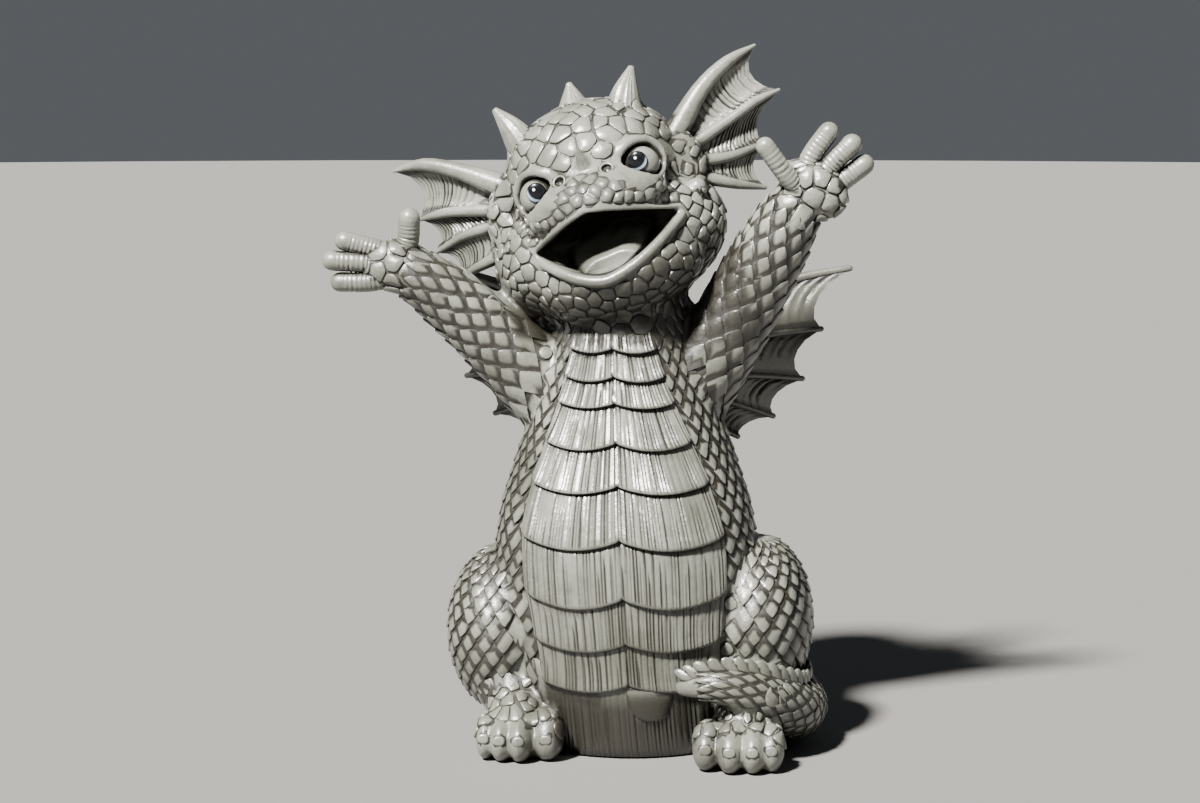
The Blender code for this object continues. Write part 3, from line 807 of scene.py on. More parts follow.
def eye_arc(skin, side, start, end, reach, radii):
    """A rounded ridge on part of a circle round an eye; angles from the outer side, upwards."""
    path = []
    for step in range(13):
        angle = math.radians(start + (end - start) * step / 12)
        right = side * (EYE_SPREAD + reach * math.cos(angle))
        up = EYE_UP + reach * math.sin(angle)
        forward = HEAD_AT[1] - skin.face(right, up)[0].y
        forward = min(max(forward, EYE_FORWARD - 2.5), EYE_FORWARD + 6.5)
        path.append(on_head(right, up, forward - 0.2))
    smooth = [path[0]] + [(a + b * 2 + c) / 4 for a, b, c in zip(path, path[1:], path[2:])] + [path[-1]]
    sizes = [number_at(radii, step / 12) for step in range(13)]
    return limb(f"eye_arc_{side}", smooth, sizes, sides=16, steps=2)


def horns():
    return [limb("horn", head_path(path), radii, sides=24) for path, radii in HORNS]


def fluted_horns():
    """Closed skins over the horns with fine grooves that run to their tips."""
    heap = Heap()
    chance = random.Random(21)
    sides = 44
    for path, radii in HORNS[:CROWN]:
        depths = [0.0] * sides
        for step in range(0, sides, 2):
            depths[(step + chance.choice((0, 0, 1))) % sides] = chance.uniform(0.1, 0.34)
        frames = domed(limb_frames(head_path(path), radii, 26), 3)
        points, faces = ring_skin(frames, sides)
        for row, (centre, _, _, size) in enumerate(frames):
            fade = min(1.0, size / 4.0)
            for step in range(sides):
                index = 1 + row * sides + step
                point = points[index]
                points[index] = point + (point - centre).normalized() * (0.3 - depths[step] * fade)
        heap.add(points, faces)
    return heap.made("dragon_horns")


def foot(side):
    """A round instep with four toes that touch side by side."""
    toes, radii = TOES[side], TOE_RADII[side]
    front, heel, top = TOE_FRONT[side], FOOT_HEEL[side], FOOT_TOP[side]
    middle = (toes[0] + toes[-1]) / 2
    half = (toes[-1] - toes[0]) / 2
    made = [ball(f"instep_{side}", (middle, heel + 3, top * 0.42), (half + 3.2, 17.0, top * 0.53))]
    for number, (x, radius) in enumerate(zip(toes, radii)):
        tip = front + 4.0 * (abs(x - middle) / half) ** 2
        made.append(ball(f"toe_{side}_{number}", (x, tip + 8.0, 7.6), (radius, 8.4, 7.9)))
        path = (
            (middle + (x - middle) * 0.75, heel + 2, top * 0.5),
            (middle + (x - middle) * 0.94, (tip + heel) / 2 + 2, 12.6),
            (x, tip + 6.6, 10.6),
        )
        made.append(limb(f"toe_root_{side}_{number}", path, (radius, radius * 0.98, radius * 0.93)))
    return made


def big_forms():
    """The round forms that the first, rough skin is drawn over."""
    made = [torso()]
    for side, centre in HAUNCHES.items():
        made.append(ball(f"haunch_{side}", centre, HAUNCH_RADII))
        made.append(limb(f"arm_{side}", ARMS[side], ARM_RADII[side]))
    for side, (path, radii) in SHINS.items():
        made.append(limb(f"shin_{side}", path, radii))
    made.append(limb("tail", TAIL, TAIL_RADII))
    made.append(limb("neck", *NECK))
    made += [head_ball(*form) for form in HEAD_FORMS]
    made.append(ball("hips", *HIPS))
    for side, (centre, radii, lean) in EAR_FLARES.items():
        made.append(ball(f"ear_flare_{side}", centre, radii, lean=lean))
    for path, (thick, thin, _, _) in HORNS[:CROWN]:
        made.append(limb("horn_base", head_path(path[:3]), (thick + 2.5, thin + 0.6, 1.5)))
    return made


def small_forms(skin):
    """The forms too fine for the first skin: lips, horns, feet, palms, eye ridges and cheeks."""
    made = lips() + horns() + foot(-1) + foot(1)
    for side in (-1, 1):
        centre, radii, lean = PALMS[side]
        made.append(ball(f"palm_{side}", centre, radii, lean=lean))
        made.append(eye_arc(skin, side, -20, 200, 8.7, (0.8, 1.5, 1.9, 1.6, 0.9)))
        made.append(eye_arc(skin, side, 165, 375, 8.5, (0.8, 1.15, 1.25, 1.15, 0.8)))
    for right, up, forward, radius in CHEEK_BUMPS:
        made.append(head_ball("cheek_bump", (right, up, forward), (radius, radius, radius)))
    return made


def body():
    """The smooth casting under all the relief."""
    made = joined("dragon_body", big_forms())
    skinned(made, ROUGH_VOXEL, 10)
    cut(made, mouth_plug())
    for side in (-1, 1):
        cut(made, head_ball("socket", (side * EYE_SPREAD, EYE_UP, EYE_FORWARD + 3.0), SOCKET))
    skin = Skin(made)
    for right, up in NOSTRILS:
        cut(made, ball("nostril", skin.face(right, up)[0], NOSTRIL_HOLE))
    made = joined("dragon_body", [made] + small_forms(Skin(made)))
    skinned(made, FINE_VOXEL, 2)
    return made


class Skin:
    """The smooth body, asked where a ray from outside meets it and which way the surface faces there."""

    def __init__(self, obj):
        mesh = obj.data
        points = column(mesh.vertices, "co", 3) / MM
        normals = column(mesh.vertex_normals, "vector", 3)
        loops = column(mesh.loops, "vertex_index", kind=np.int32)
        starts = column(mesh.polygons, "loop_start", kind=np.int32)
        counts = np.diff(np.append(starts, len(loops)))
        soft = np.add.reduceat(normals[loops], starts, axis=0)
        self.soft = soft / np.linalg.norm(soft, axis=1)[:, None]
        self.centres = np.add.reduceat(points[loops], starts, axis=0) / counts[:, None]
        faces = [tuple(corners) for corners in np.split(loops, starts[1:])]
        self.tree = BVHTree.FromPolygons([tuple(point) for point in points], faces)

    def meet(self, origin, direction, reach):
        point, _, index, _ = self.tree.ray_cast(origin, direction, reach)
        if point is None:
            return None
        return point, Vector(self.soft[index])

    def face(self, right, up):
        """Where the front of the head is met, at its own right and up distances."""
        return self.meet(on_head(right, up, IN_FRONT), INWARD, IN_FRONT)


def lapped_scale(heap, skin, ray, along, turn, half_long, half_turn, lift, steps, chance):
    """One closed scale: thin at its root, proud and rounded at its two free edges, its tip ahead."""
    count = len(steps)
    tilt = chance.uniform(-0.22, 0.22)
    lift = lift * chance.uniform(0.85, 1.12)
    shift = (chance.uniform(-0.05, 0.05), chance.uniform(-0.05, 0.05))
    top = []
    tones = []
    for u in steps:
        for v in steps:
            pull = 0.11 * max(u, 0) ** 3 * max(v, 0) ** 3
            a = u - pull
            b = v - pull
            origin, inward, reach = ray(
                along + half_long * (a + b - 1 + shift[0]), turn + half_turn * (a - b + shift[1])
            )
            met = skin.meet(origin, inward, reach)
            if met is None:
                return
            point, normal = met
            if normal.dot(inward) > -0.3:
                return
            middle = max((u + v) / 2, 0.0)
            free = max(u, v)
            rise = lift * (0.1 + 0.9 * middle ** 0.85) * (1 + tilt * (u - v))
            rise += 0.18 * lift * (1 - (u - v) ** 2) * middle
            if free >= 1.0:
                rise -= 0.3 * lift
            top.append((point, normal, rise))
            # painted shade, a little on the rolled free edges
            tones.append(0.3 if free >= 1.0 else 0.0)
    points = [point + normal * rise for point, normal, rise in top]
    corners = (0, (count - 1) * count, count * count - 1, count - 1)
    under = len(points)
    points += [top[corner][0] - top[corner][1] * SCALE_ROOT for corner in corners]
    faces = grid_faces(count, count)
    chains = (
        [row * count for row in range(count)],
        [(count - 1) * count + place for place in range(count)],
        [row * count + count - 1 for row in reversed(range(count))],
        list(reversed(range(count))),
    )
    for number, chain in enumerate(chains):
        low, following = under + number, under + (number + 1) % 4
        for first, second in zip(chain, chain[1:]):
            faces.append((low, second, first))
        faces.append((low, following, chain[-1]))
    faces.append((under + 3, under + 2, under + 1, under))
    points = off_floor(points)
    # painted shade, full on the hidden root points under the scale
    heap.add(points, turned_out(points, faces), tones + [1.0] * 4)


def limb_ray(path, radii, span):
    """Rays towards a limb's middle line, by the distance along it and the turn round it."""
    frames = limb_frames(path, radii, 12 * (len(path) - 1))
    lengths = [0.0]
    for first, second in zip(frames, frames[1:]):
        lengths.append(lengths[-1] + (second[0] - first[0]).length)
    table = np.array([[*centre, *across, *over, radius] for centre, across, over, radius in frames])

    def ray(along, turn):
        values = [np.interp(along, lengths, track) for track in table.T]
        centre, across, over = Vector(values[:3]), Vector(values[3:6]), Vector(values[6:9])
        outward = (across * math.cos(turn) + over * math.sin(turn)).normalized()
        return centre + outward * (values[9] + span), -outward, values[9] * 0.5 + span

    return ray, lengths[-1]


def lay_on_limb(heap, skin, path, radii, lift, steps, seed, first, last, wide, long, span):
    """Lapped scales, wide by long, round a limb between two shares of its length, their tips to its end."""
    chance = random.Random(seed)
    ray, length = limb_ray(path, radii, span)
    size = sum(radii) / len(radii)
    columns = max(6, round(math.tau * size / wide))
    half_turn = math.pi / columns
    rows = round((last - first) * length * 2 / long)
    half_long = (last - first) * length / rows
    for row in range(rows):
        along = first * length + row * half_long
        for place in range(columns):
            turn = (2 * place + row % 2) * half_turn
            lapped_scale(heap, skin, ray, along, turn, half_long, half_turn, lift, steps, chance)


def ball_ray(centre, radii, span):
    """Rays towards a haunch's upright middle line, by the distance down and the turn round it."""
    centre = Vector(centre)

    def ray(down, turn):
        fall = min(max(down / radii[2], 0.02), math.pi - 0.02)
        outward = Vector((math.sin(fall) * math.cos(turn), math.sin(fall) * math.sin(turn), math.cos(fall)))
        surface = Vector([a * b for a, b in zip(outward, radii)])
        facing = Vector([a / b for a, b in zip(outward, radii)]).normalized()
        return centre + surface + facing * span, -facing, span * 2.2

    return ray


def haunch_scales(heap, skin, lift):
    """Scales round both haunches, their tips down, left out on the inner side."""
    for side, centre in HAUNCHES.items():
        chance = random.Random(70 + side)
        ray = ball_ray(centre, HAUNCH_RADII, 4.5)
        rows, columns = HAUNCH_ROWS
        half_turn = math.pi / columns
        for row in range(rows):
            down = 10.0 + row * HALF_SCALE
            for place in range(columns):
                turn = (2 * place + row % 2) * half_turn + 0.013 * row * side
                if side * math.cos(turn) < -0.45:
                    continue
                lapped_scale(heap, skin, ray, down, turn, HALF_SCALE, half_turn, lift, TILE_STEPS, chance)


def torso_ray(down, turn):
    """A ray towards the torso's middle line, by the distance down and the turn from the front."""
    height = TORSO[-1][0] - down
    surface = torso_point(turn, height)
    outside = torso_point(turn, height, 5.0)
    inward = (surface - outside).normalized()
    return outside, inward, 8.0


def torso_scales(heap, skin, lift):
    """Scales on the torso's sides and back, their tips down, clear of the belly plates."""
    chance = random.Random(31)
    rows, columns = TRUNK_ROWS
    half_turn = math.pi / columns
    for row in range(rows):
        down = 6.0 + row * HALF_SCALE
        height = TORSO[-1][0] - down
        edge = plate_angles(height)
        for place in range(columns):
            turn = (2 * place + row % 2) * half_turn
            turn = (turn + math.pi) % math.tau - math.pi
            if edge[0] - half_turn * 0.4 < turn < edge[1] + half_turn * 0.4 and height > 22:
                continue
            if height < 24 and abs(turn) < 1.0:
                continue
            steps = TILE_STEPS if abs(turn) < 1.8 else SMALL_TILE_STEPS
            lapped_scale(heap, skin, torso_ray, down, turn, HALF_SCALE, half_turn, lift, steps, chance)


def lobe(heap, base, tip, along, side, width, thickness):
    """A rounded upright fin, wide along the body and thin across it."""
    frames = []
    for share in (0, 0.25, 0.5, 0.7, 0.85, 0.95, 1.0):
        size = math.sqrt(max(1 - share ** 2.4, 0.03))
        centre = base.lerp(tip, share)
        frames.append((centre, along * width / 2, side * thickness / 2 * (1 - 0.35 * share), size))
    points, faces = ring_skin(frames, 12)
    heap.add(points, turned_out(points, faces))


def fins_along_tail(heap):
    length = limb_ray(TAIL, TAIL_RADII, 0.0)[1]
    place = 0.2 * length
    while place < 0.955 * length:
        share = place / length
        centre = Vector(curve_at(TAIL, share))
        ahead = (Vector(curve_at(TAIL, share + 0.01)) - centre).normalized()
        size = number_at(TAIL_RADII, share)
        outward = Vector((0.3, 0.3 - 0.5 * share, 0.9))
        outward = (outward - ahead * outward.dot(ahead)).normalized()
        tall = 1.6 + 2.8 * min(1.0, size / 10.0)
        base = centre + outward * size * 0.6
        tip = centre + outward * (size + tall) + ahead * (2.4 + 0.4 * size)
        lobe(heap, base, tip, ahead, ahead.cross(outward), 3.8 + 0.8 * size, 3.4 + 0.25 * size)
        place += 3.0 + 0.42 * size


def fins_along_back(heap):
    for number in range(10):
        height = 30 + 14.0 * number
        base = torso_point(math.pi, height, -3)
        tip = torso_point(math.pi, height - 3.0, 6.2)
        lobe(heap, base, tip, UPWARD, Vector((1, 0, 0)), 11.0, 5.0)


def scales(skin, lift):
    """All lapped scales and fins of the arms, legs, trunk and tail."""
    heap = Heap()
    for seed, side in ((11, -1), (12, 1)):
        arm, radii = ARMS[side], ARM_RADII[side]
        lay_on_limb(heap, skin, arm, radii, lift, TILE_STEPS, seed, **ARM_SCALES)
    lay_on_limb(heap, skin, TAIL, TAIL_RADII, 0.62 * lift, TILE_STEPS, 13, **TAIL_SCALES)
    for seed, (path, radii) in enumerate(SHINS.values(), 15):
        lay_on_limb(heap, skin, path, radii, 0.7 * lift, SMALL_TILE_STEPS, seed, **SHIN_SCALES)
    haunch_scales(heap, skin, lift * 1.05)
    torso_scales(heap, skin, lift * 0.9)
    fins_along_tail(heap)
    fins_along_back(heap)
    return heap.made("dragon_scales")


def plate_middle(height):
    return PLATE_CENTRE + PLATE_CENTRE_SLOPE * height


def plate_half(height):
    """Half width of the row of belly plates at a height."""
    low, waist, high = PLATE_WAIST
    if height <= waist:
        return PLATE_HALF[0] + (PLATE_HALF[1] - PLATE_HALF[0]) * ramp(height, low, waist)
    return PLATE_HALF[1] + (PLATE_HALF[2] - PLATE_HALF[1]) * ramp(height, waist, high)


def plate_angle(across, height):
    """Angle on the torso of a point at a share -1 to 1 across the plates."""
    x, _, half, _ = torso_ring(height)
    reach = plate_middle(height) + across * plate_half(height) - x
    return math.asin(min(max(reach / half, -0.98), 0.98))


def plate_angles(height):
    return plate_angle(-1, height), plate_angle(1, height)


def grooves(count, chance):
    """Depth 0 to 1 of irregular upright grooves at each of count columns."""
    depths = [0.0] * count
    place = 1.0
    while place < count - 1:
        deep = chance.uniform(0.3, 1.0)
        index = int(place)
        depths[index] = max(depths[index], deep)
        place += chance.choice((1.5, 2, 2, 2, 2, 3, 4))
    return depths


def sheet_faces(rows, wide):
    """Faces of a closed slab of two sheets of rows by wide points, the outer one first."""
    under = rows * wide
    faces = []
    for face in grid_faces(rows, wide):
        faces.append(face)
        faces.append(tuple(under + corner for corner in (face[0], *face[:0:-1])))
    rim = list(range(wide))
    rim += [row * wide + wide - 1 for row in range(1, rows)]
    rim += [(rows - 1) * wide + place for place in range(wide - 2, -1, -1)]
    rim += [row * wide for row in range(rows - 2, 0, -1)]
    for here, following in zip(rim, rim[1:] + rim[:1]):
        faces.append((here, following, under + following, under + here))
    return faces


def add_plate(heap, outer, rows, wide, root, tones=()):
    """Closes a slab under rows by wide places (angle, height, lift) of the torso, its back one strip deep."""
    points = [torso_point(*place) for place in outer]
    under = len(points)
    last = (rows - 1) * wide
    for start in (0, last):
        points += [torso_point(angle, height, -root) for angle, height, _ in outer[start : start + wide]]
    faces = grid_faces(rows, wide)
    for place in range(wide - 1):
        top, low = under + place, under + wide + place
        faces.append((top, top + 1, low + 1, low))
        faces.append((place, place + 1, top + 1, top))
        faces.append((low, low + 1, last + place + 1, last + place))
    left = [row * wide for row in range(rows)]
    faces.append(tuple([under] + [under + wide] + left[::-1]))
    right = [row * wide + wide - 1 for row in range(rows)]
    faces.append(tuple(right + [under + 2 * wide - 1, under + wide - 1]))
    # painted shade on the slab's hidden back points
    tones = list(tones) or [0.0] * under
    heap.add(points, faces, tones + [0.9] * (len(points) - under))


def belly_plate(heap, number, lip, depth, chance):
    """One lapped plate: thin where it slips under the one above, proud at its scalloped lower edge."""
    top, cusp = PLATE_CUSPS[number], PLATE_CUSPS[number + 1]
    pitch = top - cusp
    columns = 2 * round(plate_half(cusp) / GROOVE_PITCH)
    cuts = grooves(columns + 1, chance)
    starts = [chance.uniform(-0.5, 0.45) for _ in cuts]
    wander = [chance.uniform(-0.3, 0.3) / columns for _ in cuts]
    outer = []
    tones = []
    for down in PLATE_ROWS:
        for place in range(columns + 1):
            across = 2 * place / columns - 1
            lobe_share = abs(math.sin(math.pi * across)) ** 0.8
            start = top + PLATE_TUCK - PLATE_SAG * pitch * lobe_share
            end = cusp - PLATE_SAG * pitch * lobe_share
            height = start + (end - start) * down
            groove = max(0.0, 1 - abs(across) / 0.03)
            edge = min(1.0, (1 - abs(across)) / 0.07)
            lift = 0.8 + lip * 1.05 * down ** 1.3 * (0.3 + 0.7 * edge) - 0.5 * groove
            lift += 0.35 * ramp(down, 0.75, 0.92) - 0.3 * ramp(down, 0.93, 0.975)
            lift -= 0.9 * ramp(down, 0.975, 1.0)
            cutting = cuts[place] * ramp(down, starts[place], starts[place] + 0.25)
            cutting *= 1.0 if down < 0.95 else 0.3
            lift -= depth * cutting
            shift = wander[place] * math.sin(4.0 * down + place)
            outer.append((plate_angle(across + shift, height), height, lift))
            # painted shade and wash in the grooves, down the middle and where the plate slips under the one
            # above
            tones.append(min(0.95, 1.1 * cutting + 0.6 * groove + 0.7 * (1 - ramp(down, 0.0, 0.3))))
    add_plate(heap, outer, len(PLATE_ROWS), columns + 1, PLATE_ROOT, tones)


def under_belly(heap, depth, chance):
    """Upright folds from the last plate down to the ground."""
    columns = 96
    cuts = grooves(columns + 1, chance)
    outer = []
    tones = []
    for down in FOLD_ROWS:
        for place in range(columns + 1):
            across = 2 * place / columns - 1
            height = FOLD_TOP * (1 - down) + 0.6 + 5.0 * abs(across) ** 2 * (1 - down)
            wide = 1.0 + 0.12 * abs(across)
            cutting = cuts[place] * ramp(down, 0.0, 0.3)
            lift = 1.4 - depth * cutting - 0.7 * abs(across) ** 3
            outer.append((plate_angle(across * wide, height), height, lift))
            # painted shade and wash in the grooves and at the top of the folds, under the last plate
            tones.append(min(0.9, 0.6 * cutting + 0.4 * (1 - ramp(down, 0.0, 0.2))))
    add_plate(heap, outer, len(FOLD_ROWS), columns + 1, 2.5, tones)


def small_plate(heap, lip):
    """The small rounded plate that hangs over the folds."""
    top, drop, half, aside = SMALL_PLATE
    rows, wide = 11, 13
    outer = []
    for row in range(rows):
        turn = math.radians(86) * row / (rows - 1)
        height = top - drop * math.sin(turn)
        reach = half * math.cos(turn) ** 0.55
        for place in range(wide):
            across = 2 * place / (wide - 1) - 1
            dome = 0.8 * (1 - across ** 2) * math.cos(turn) ** 0.5
            middle = plate_middle(height) - torso_ring(height)[0] + aside
            angle = math.asin((middle + across * reach) / torso_ring(height)[2])
            proud = (0.3 * lip * (1 - across ** 6) + dome) * ramp(height, 30.0, 26.0)
            outer.append((angle, height, 1.35 + proud - 1.0 * ramp(height, 28.0, 31.0)))
    add_plate(heap, outer, rows, wide, 2.0)


def soften_rows(obj):
    """Leaves only the edges that run down the plates sharp."""
    ends = column(obj.data.edges, "vertices", 2, np.int32)
    sharp = obj.data.attributes["sharp_edge"].data
    flags = column(sharp, "value", kind=bool)
    flags[np.abs(np.diff(ends, axis=1)[:, 0]) == 1] = False
    sharp.foreach_set("value", flags)


def belly(lip, depth):
    chance = random.Random(5)
    heap = Heap()
    for number in range(len(PLATE_CUSPS) - 1):
        belly_plate(heap, number, lip, depth, chance)
    under_belly(heap, depth, chance)
    small_plate(heap, lip)
    return heap.made("dragon_belly")


def rib_path(root, tip, arch, lift):
    """A rib from root to tip, bowed by arch along the lift direction."""
    root, tip = Vector(root), Vector(tip)
    shares = (0, 0.25, 0.5, 0.75, 1)
    return [root.lerp(tip, share) + lift * arch * math.sin(math.pi * share ** 0.85) for share in shares]


def web(heap, first, second, dip, tuck, along, chance):
    """A creased skin between two ribs, its outer edge dipping towards the root between the tips."""
    across = 5
    depths = [CREASE_DEPTH * chance.uniform(0.5, 1.4) for _ in range(along + 1)]
    leans = [chance.uniform(-0.4, 0.4) for _ in range(along + 1)]
    rib = Vector(first[-1]) - Vector(first[0])
    sheets = ([], [])
    for row in range(along + 1):
        out = row / along
        for place in range(across + 1):
            side = place / across
            middle = math.sin(math.pi * side)
            share = (1 - dip * (4 * side * (1 - side)) ** 0.6) * out + 0.07 * middle * out * (1 - out)
            a = Vector(curve_at(first, share))
            b = Vector(curve_at(second, share))
            face = (b - a).cross(rib).normalized()
            thick = MEMBRANE * (1 - 0.5 * share)
            ripple = 0.1 if row % 3 else -depths[row] * (1 + leans[row] * (2 * side - 1))
            ripple *= middle ** 0.4 * ramp(share, 0.1, 0.3) * (1 - ramp(out, 0.9, 1.0))
            spot = a.lerp(b, side) + face * tuck * middle * (b - a).length
            for sheet, way in zip(sheets, (-1, 1)):
                sheet.append(spot + face * way * (thick / 2 + ripple))
    points = sheets[0] + sheets[1]
    heap.add(points, turned_out(points, sheet_faces(along + 1, across + 1)))


def fin(heap, paths, radii, dip, tuck, creases):
    chance = random.Random(creases)
    for path, sizes in zip(paths, radii):
        heap.add(*ring_skin(domed(limb_frames(path, sizes, 12), 3), 12))
    for first, second in zip(paths, paths[1:]):
        web(heap, first, second, dip, tuck, 3 * creases, chance)


def fins():
    """Both ears and both wings."""
    heap = Heap()
    shares = (0, 0.25, 0.5, 0.75, 1)
    sizes = [[thick + (thin - thick) * share ** 0.8 for share in shares] for thick, thin in WING_RIB_RADII]
    for side in (-1, 1):
        fin(heap, EARS[side], EAR_RADII, EAR_DIP, -side * 0.16, 18)
        paths = []
        for root, tip, arch in zip(WING_ROOTS, WING_TIPS, WING_ARCH):
            start = (side * root[0], root[1], root[2])
            end = (side * tip[0] - 1, tip[1], tip[2])
            paths.append(rib_path(start, end, arch, Vector((0, 0.45, 0.9))))
        fin(heap, paths, sizes, WING_DIP, side * 0.07, 13)
    return heap.made("dragon_fins")


def finger(heap, path, radius, depth, chance):
    """A stubby finger with uneven rings of wrinkles between its root and its tip."""
    length = sum((Vector(b) - Vector(a)).length for a, b in zip(path, path[1:]))
    count = round(length / (WRINKLE_PITCH / 4))
    radii = [radius * 1.12] + [radius] * (len(path) - 2) + [radius * 0.97]
    frames = limb_frames(path, radii, count)
    sides = 14
    ends = domed(frames, 4)
    points, faces = ring_skin(ends, sides)
    leans = [chance.uniform(-1.2, 1.2) for _ in range(count)]
    depths = [chance.uniform(0.35, 1.5) for _ in range(count)]
    for index in range(count):
        place = index / count
        fade = (1 - ramp(place, 0.78, 0.95)) * ramp(place, 0.22, 0.4)
        centre = frames[index][0]
        for step in range(sides):
            angle = on_circle(step, sides)
            phase = on_circle(index, 4) + 0.9 * math.cos(angle + leans[index // 4])
            strength = 0.55 + 0.45 * math.cos(angle * 2 + leans[index // 8])
            at = 1 + (index + 4) * sides + step
            outward = (points[at] - centre).normalized()
            points[at] += outward * depth * depths[index // 4] * strength * fade * min(math.sin(phase), 0.35)
    heap.add(points, faces)


def nail(heap, centre, wide, tall, facing):
    """An oval nail, a low dome with its corners squared a little."""
    across = UPWARD.cross(facing).normalized()
    over = facing.cross(across)
    profile = ((1.04, -1.2), (1.0, 0.02), (0.86, 0.24), (0.55, 0.34), (0.2, 0.36))
    frames = [(centre + facing * rise, across * wide / 2, over * tall / 2, size) for size, rise in profile]
    points, faces = ring_skin(frames, 20)
    squared = []
    for point in points:
        offset = point - centre
        x, y = offset.dot(across) / wide * 2, offset.dot(over) / tall * 2
        grow = 1 + 0.18 * min(abs(x * y), 0.4)
        flat = across * x * wide / 2 + over * y * tall / 2
        squared.append(centre + facing * offset.dot(facing) + flat * grow)
    heap.add(squared, faces)


def digits(skin, depth):
    """Fingers and toe nails."""
    heap = Heap()
    chance = random.Random(17)
    for hand in FINGERS.values():
        for path, radius in hand:
            finger(heap, path, radius, depth, chance)
    for side in (-1, 1):
        for x, radius in zip(TOES[side], TOE_RADII[side]):
            met = skin.meet(Vector((x, -80, NAIL_HEIGHT)), INWARD, 60)
            if met is None:
                raise RuntimeError("a toe nail found no toe")
            facing = (met[1] + Vector((0, -0.6, 0))).normalized()
            nail(heap, met[0] - facing * 0.1, *NAIL, facing)
    return heap.made("dragon_digits")


def limb_spacing(point, normal):
    """Spacing of the flat plates on the palms and insteps, None where they are bare, 0 off them."""
    for side in (-1, 1):
        if (Vector(point) - Vector(PALMS[side][0])).length < PALM_REACH:
            hub = Vector(ARMS[side][-1])
            wrist = hub - Vector(ARMS[side][-2])
            if (Vector(point) - hub).dot(wrist.normalized()) > -2.6:
                return PALM_SPACING
        toes, front, heel = TOES[side], TOE_FRONT[side], FOOT_HEEL[side]
        on_foot = toes[0] - 7 < point[0] < toes[-1] + 7 and front - 5 < point[1] < heel + 6
        if on_foot and point[2] < 27:
            on_instep = point[2] > 11.5 and point[1] > front + 9 and normal[2] > 0.1
            return INSTEP_SPACING if on_instep else None
    return 0


def bare_face(right, up):
    """Whether a place on the face is bare: round an eye, a nostril or the mouth."""
    for side in (-1, 1):
        away = math.hypot(right - side * EYE_SPREAD, (up - EYE_UP) * 1.02)
        if away < (EYE_RIM if up > EYE_UP - 1 else EYE_UNDER_RIM):
            return True
    if any(math.dist((right, up), spot) < NOSTRIL_RIM for spot in NOSTRILS):
        return True
    if not -32 < right < 34 or mouth_share(right) >= 1.12:
        return False
    return lower_edge(right) - LOWER_BAND < up < upper_edge(right) + UPPER_BAND


def plate_spacing(point, normal):
    """Spacing of the flat plates at a point of the body, None where it is bare, 0 where scales lie."""
    found = limb_spacing(point, normal)
    if found != 0:
        return found
    right, up, forward = head_place(point)
    if up < -58 or abs(right) > 48 or forward < -50 or point[2] < 150:
        return 0
    if point[2] < 163 and forward < 20:
        return 0
    if forward > 0 and bare_face(right, up):
        return None
    if up > 7:
        return 6.4 - 1.2 * ramp(abs(right), 18, 30)
    if forward > 8 and abs(right) < 31 and up > -17:
        return 4.0 + 1.6 * ramp(up, 0, 8)
    if forward > 8:
        return 4.8 + 0.7 * ramp(-up, 30, 45)
    return 6.0


def gap_spacing(point, covered):
    """Spacing of the small plates on the bare skin between scales and belly plates, or None."""
    behind = point[1] > 14
    if not 3 < point[2] < 170 or (behind and point[2] > 34):
        return None
    if point[2] < 40 and abs(point[0] - 2) < 27 and point[1] < -12:
        return None
    least, most = (2.6, 6.4) if behind else (3.7, 4.8)
    away = covered.find(point)[2]
    return None if away < least else min(most, 1.1 * away + 1.0)


def horn_spots():
    """Places along the horns with the distance that the flat plates keep from each."""
    spots = []
    for path, radii in HORNS:
        for step in range(13):
            spots.append((on_head(*curve_at(path, step / 12)), number_at(radii, step / 12) + 0.6))
    return spots


def rims(skin):
    """Where the plates end round eyes, mouth, nostrils and nose horn: (point, normal, spacing)."""
    spots = []
    circles = [(side * EYE_SPREAD, EYE_UP, EYE_RIM) for side in (-1, 1)]
    circles += [(*spot, NOSTRIL_RIM) for spot in NOSTRILS] + [NOSE_HORN_RIM]
    for right, up, reach in circles:
        count = round(3.2 * reach)
        for step in range(count):
            angle = on_circle(step, count)
            size = EYE_UNDER_RIM if reach == EYE_RIM and math.sin(angle) < -0.1 else reach
            spots.append((right + size * math.cos(angle), up + size * math.sin(angle)))
    for step in range(49):
        right = mouth_right(step / 24 - 1)
        spots.append((right, upper_edge(right) + UPPER_BAND))
        spots.append((right, lower_edge(right) - LOWER_BAND))
    met = [skin.face(*spot) for spot in spots]
    return [(*found, RIM_SPACING) for found in met if found]


def cell_of(point, size):
    """The cell of a cubic grid in which a point lies."""
    return tuple(int(math.floor(value / size)) for value in point)


def nearby(grid, cell):
    """What the grid holds in a cell and in the cells round it."""
    x, y, z = cell
    for dx, dy, dz in itertools.product((-1, 0, 1), repeat=3):
        yield from grid.get((x + dx, y + dy, z + dz), ())


def crowded(point, spacing, neighbours):
    """Whether a plate of this spacing would stand too close to one of its neighbours."""
    x, y, z = point
    for other, size in neighbours:
        gap = (x - other[0]) ** 2 + (y - other[1]) ** 2 + (z - other[2]) ** 2
        if gap < (CROWDED * (spacing + size)) ** 2:
            return True
    return False


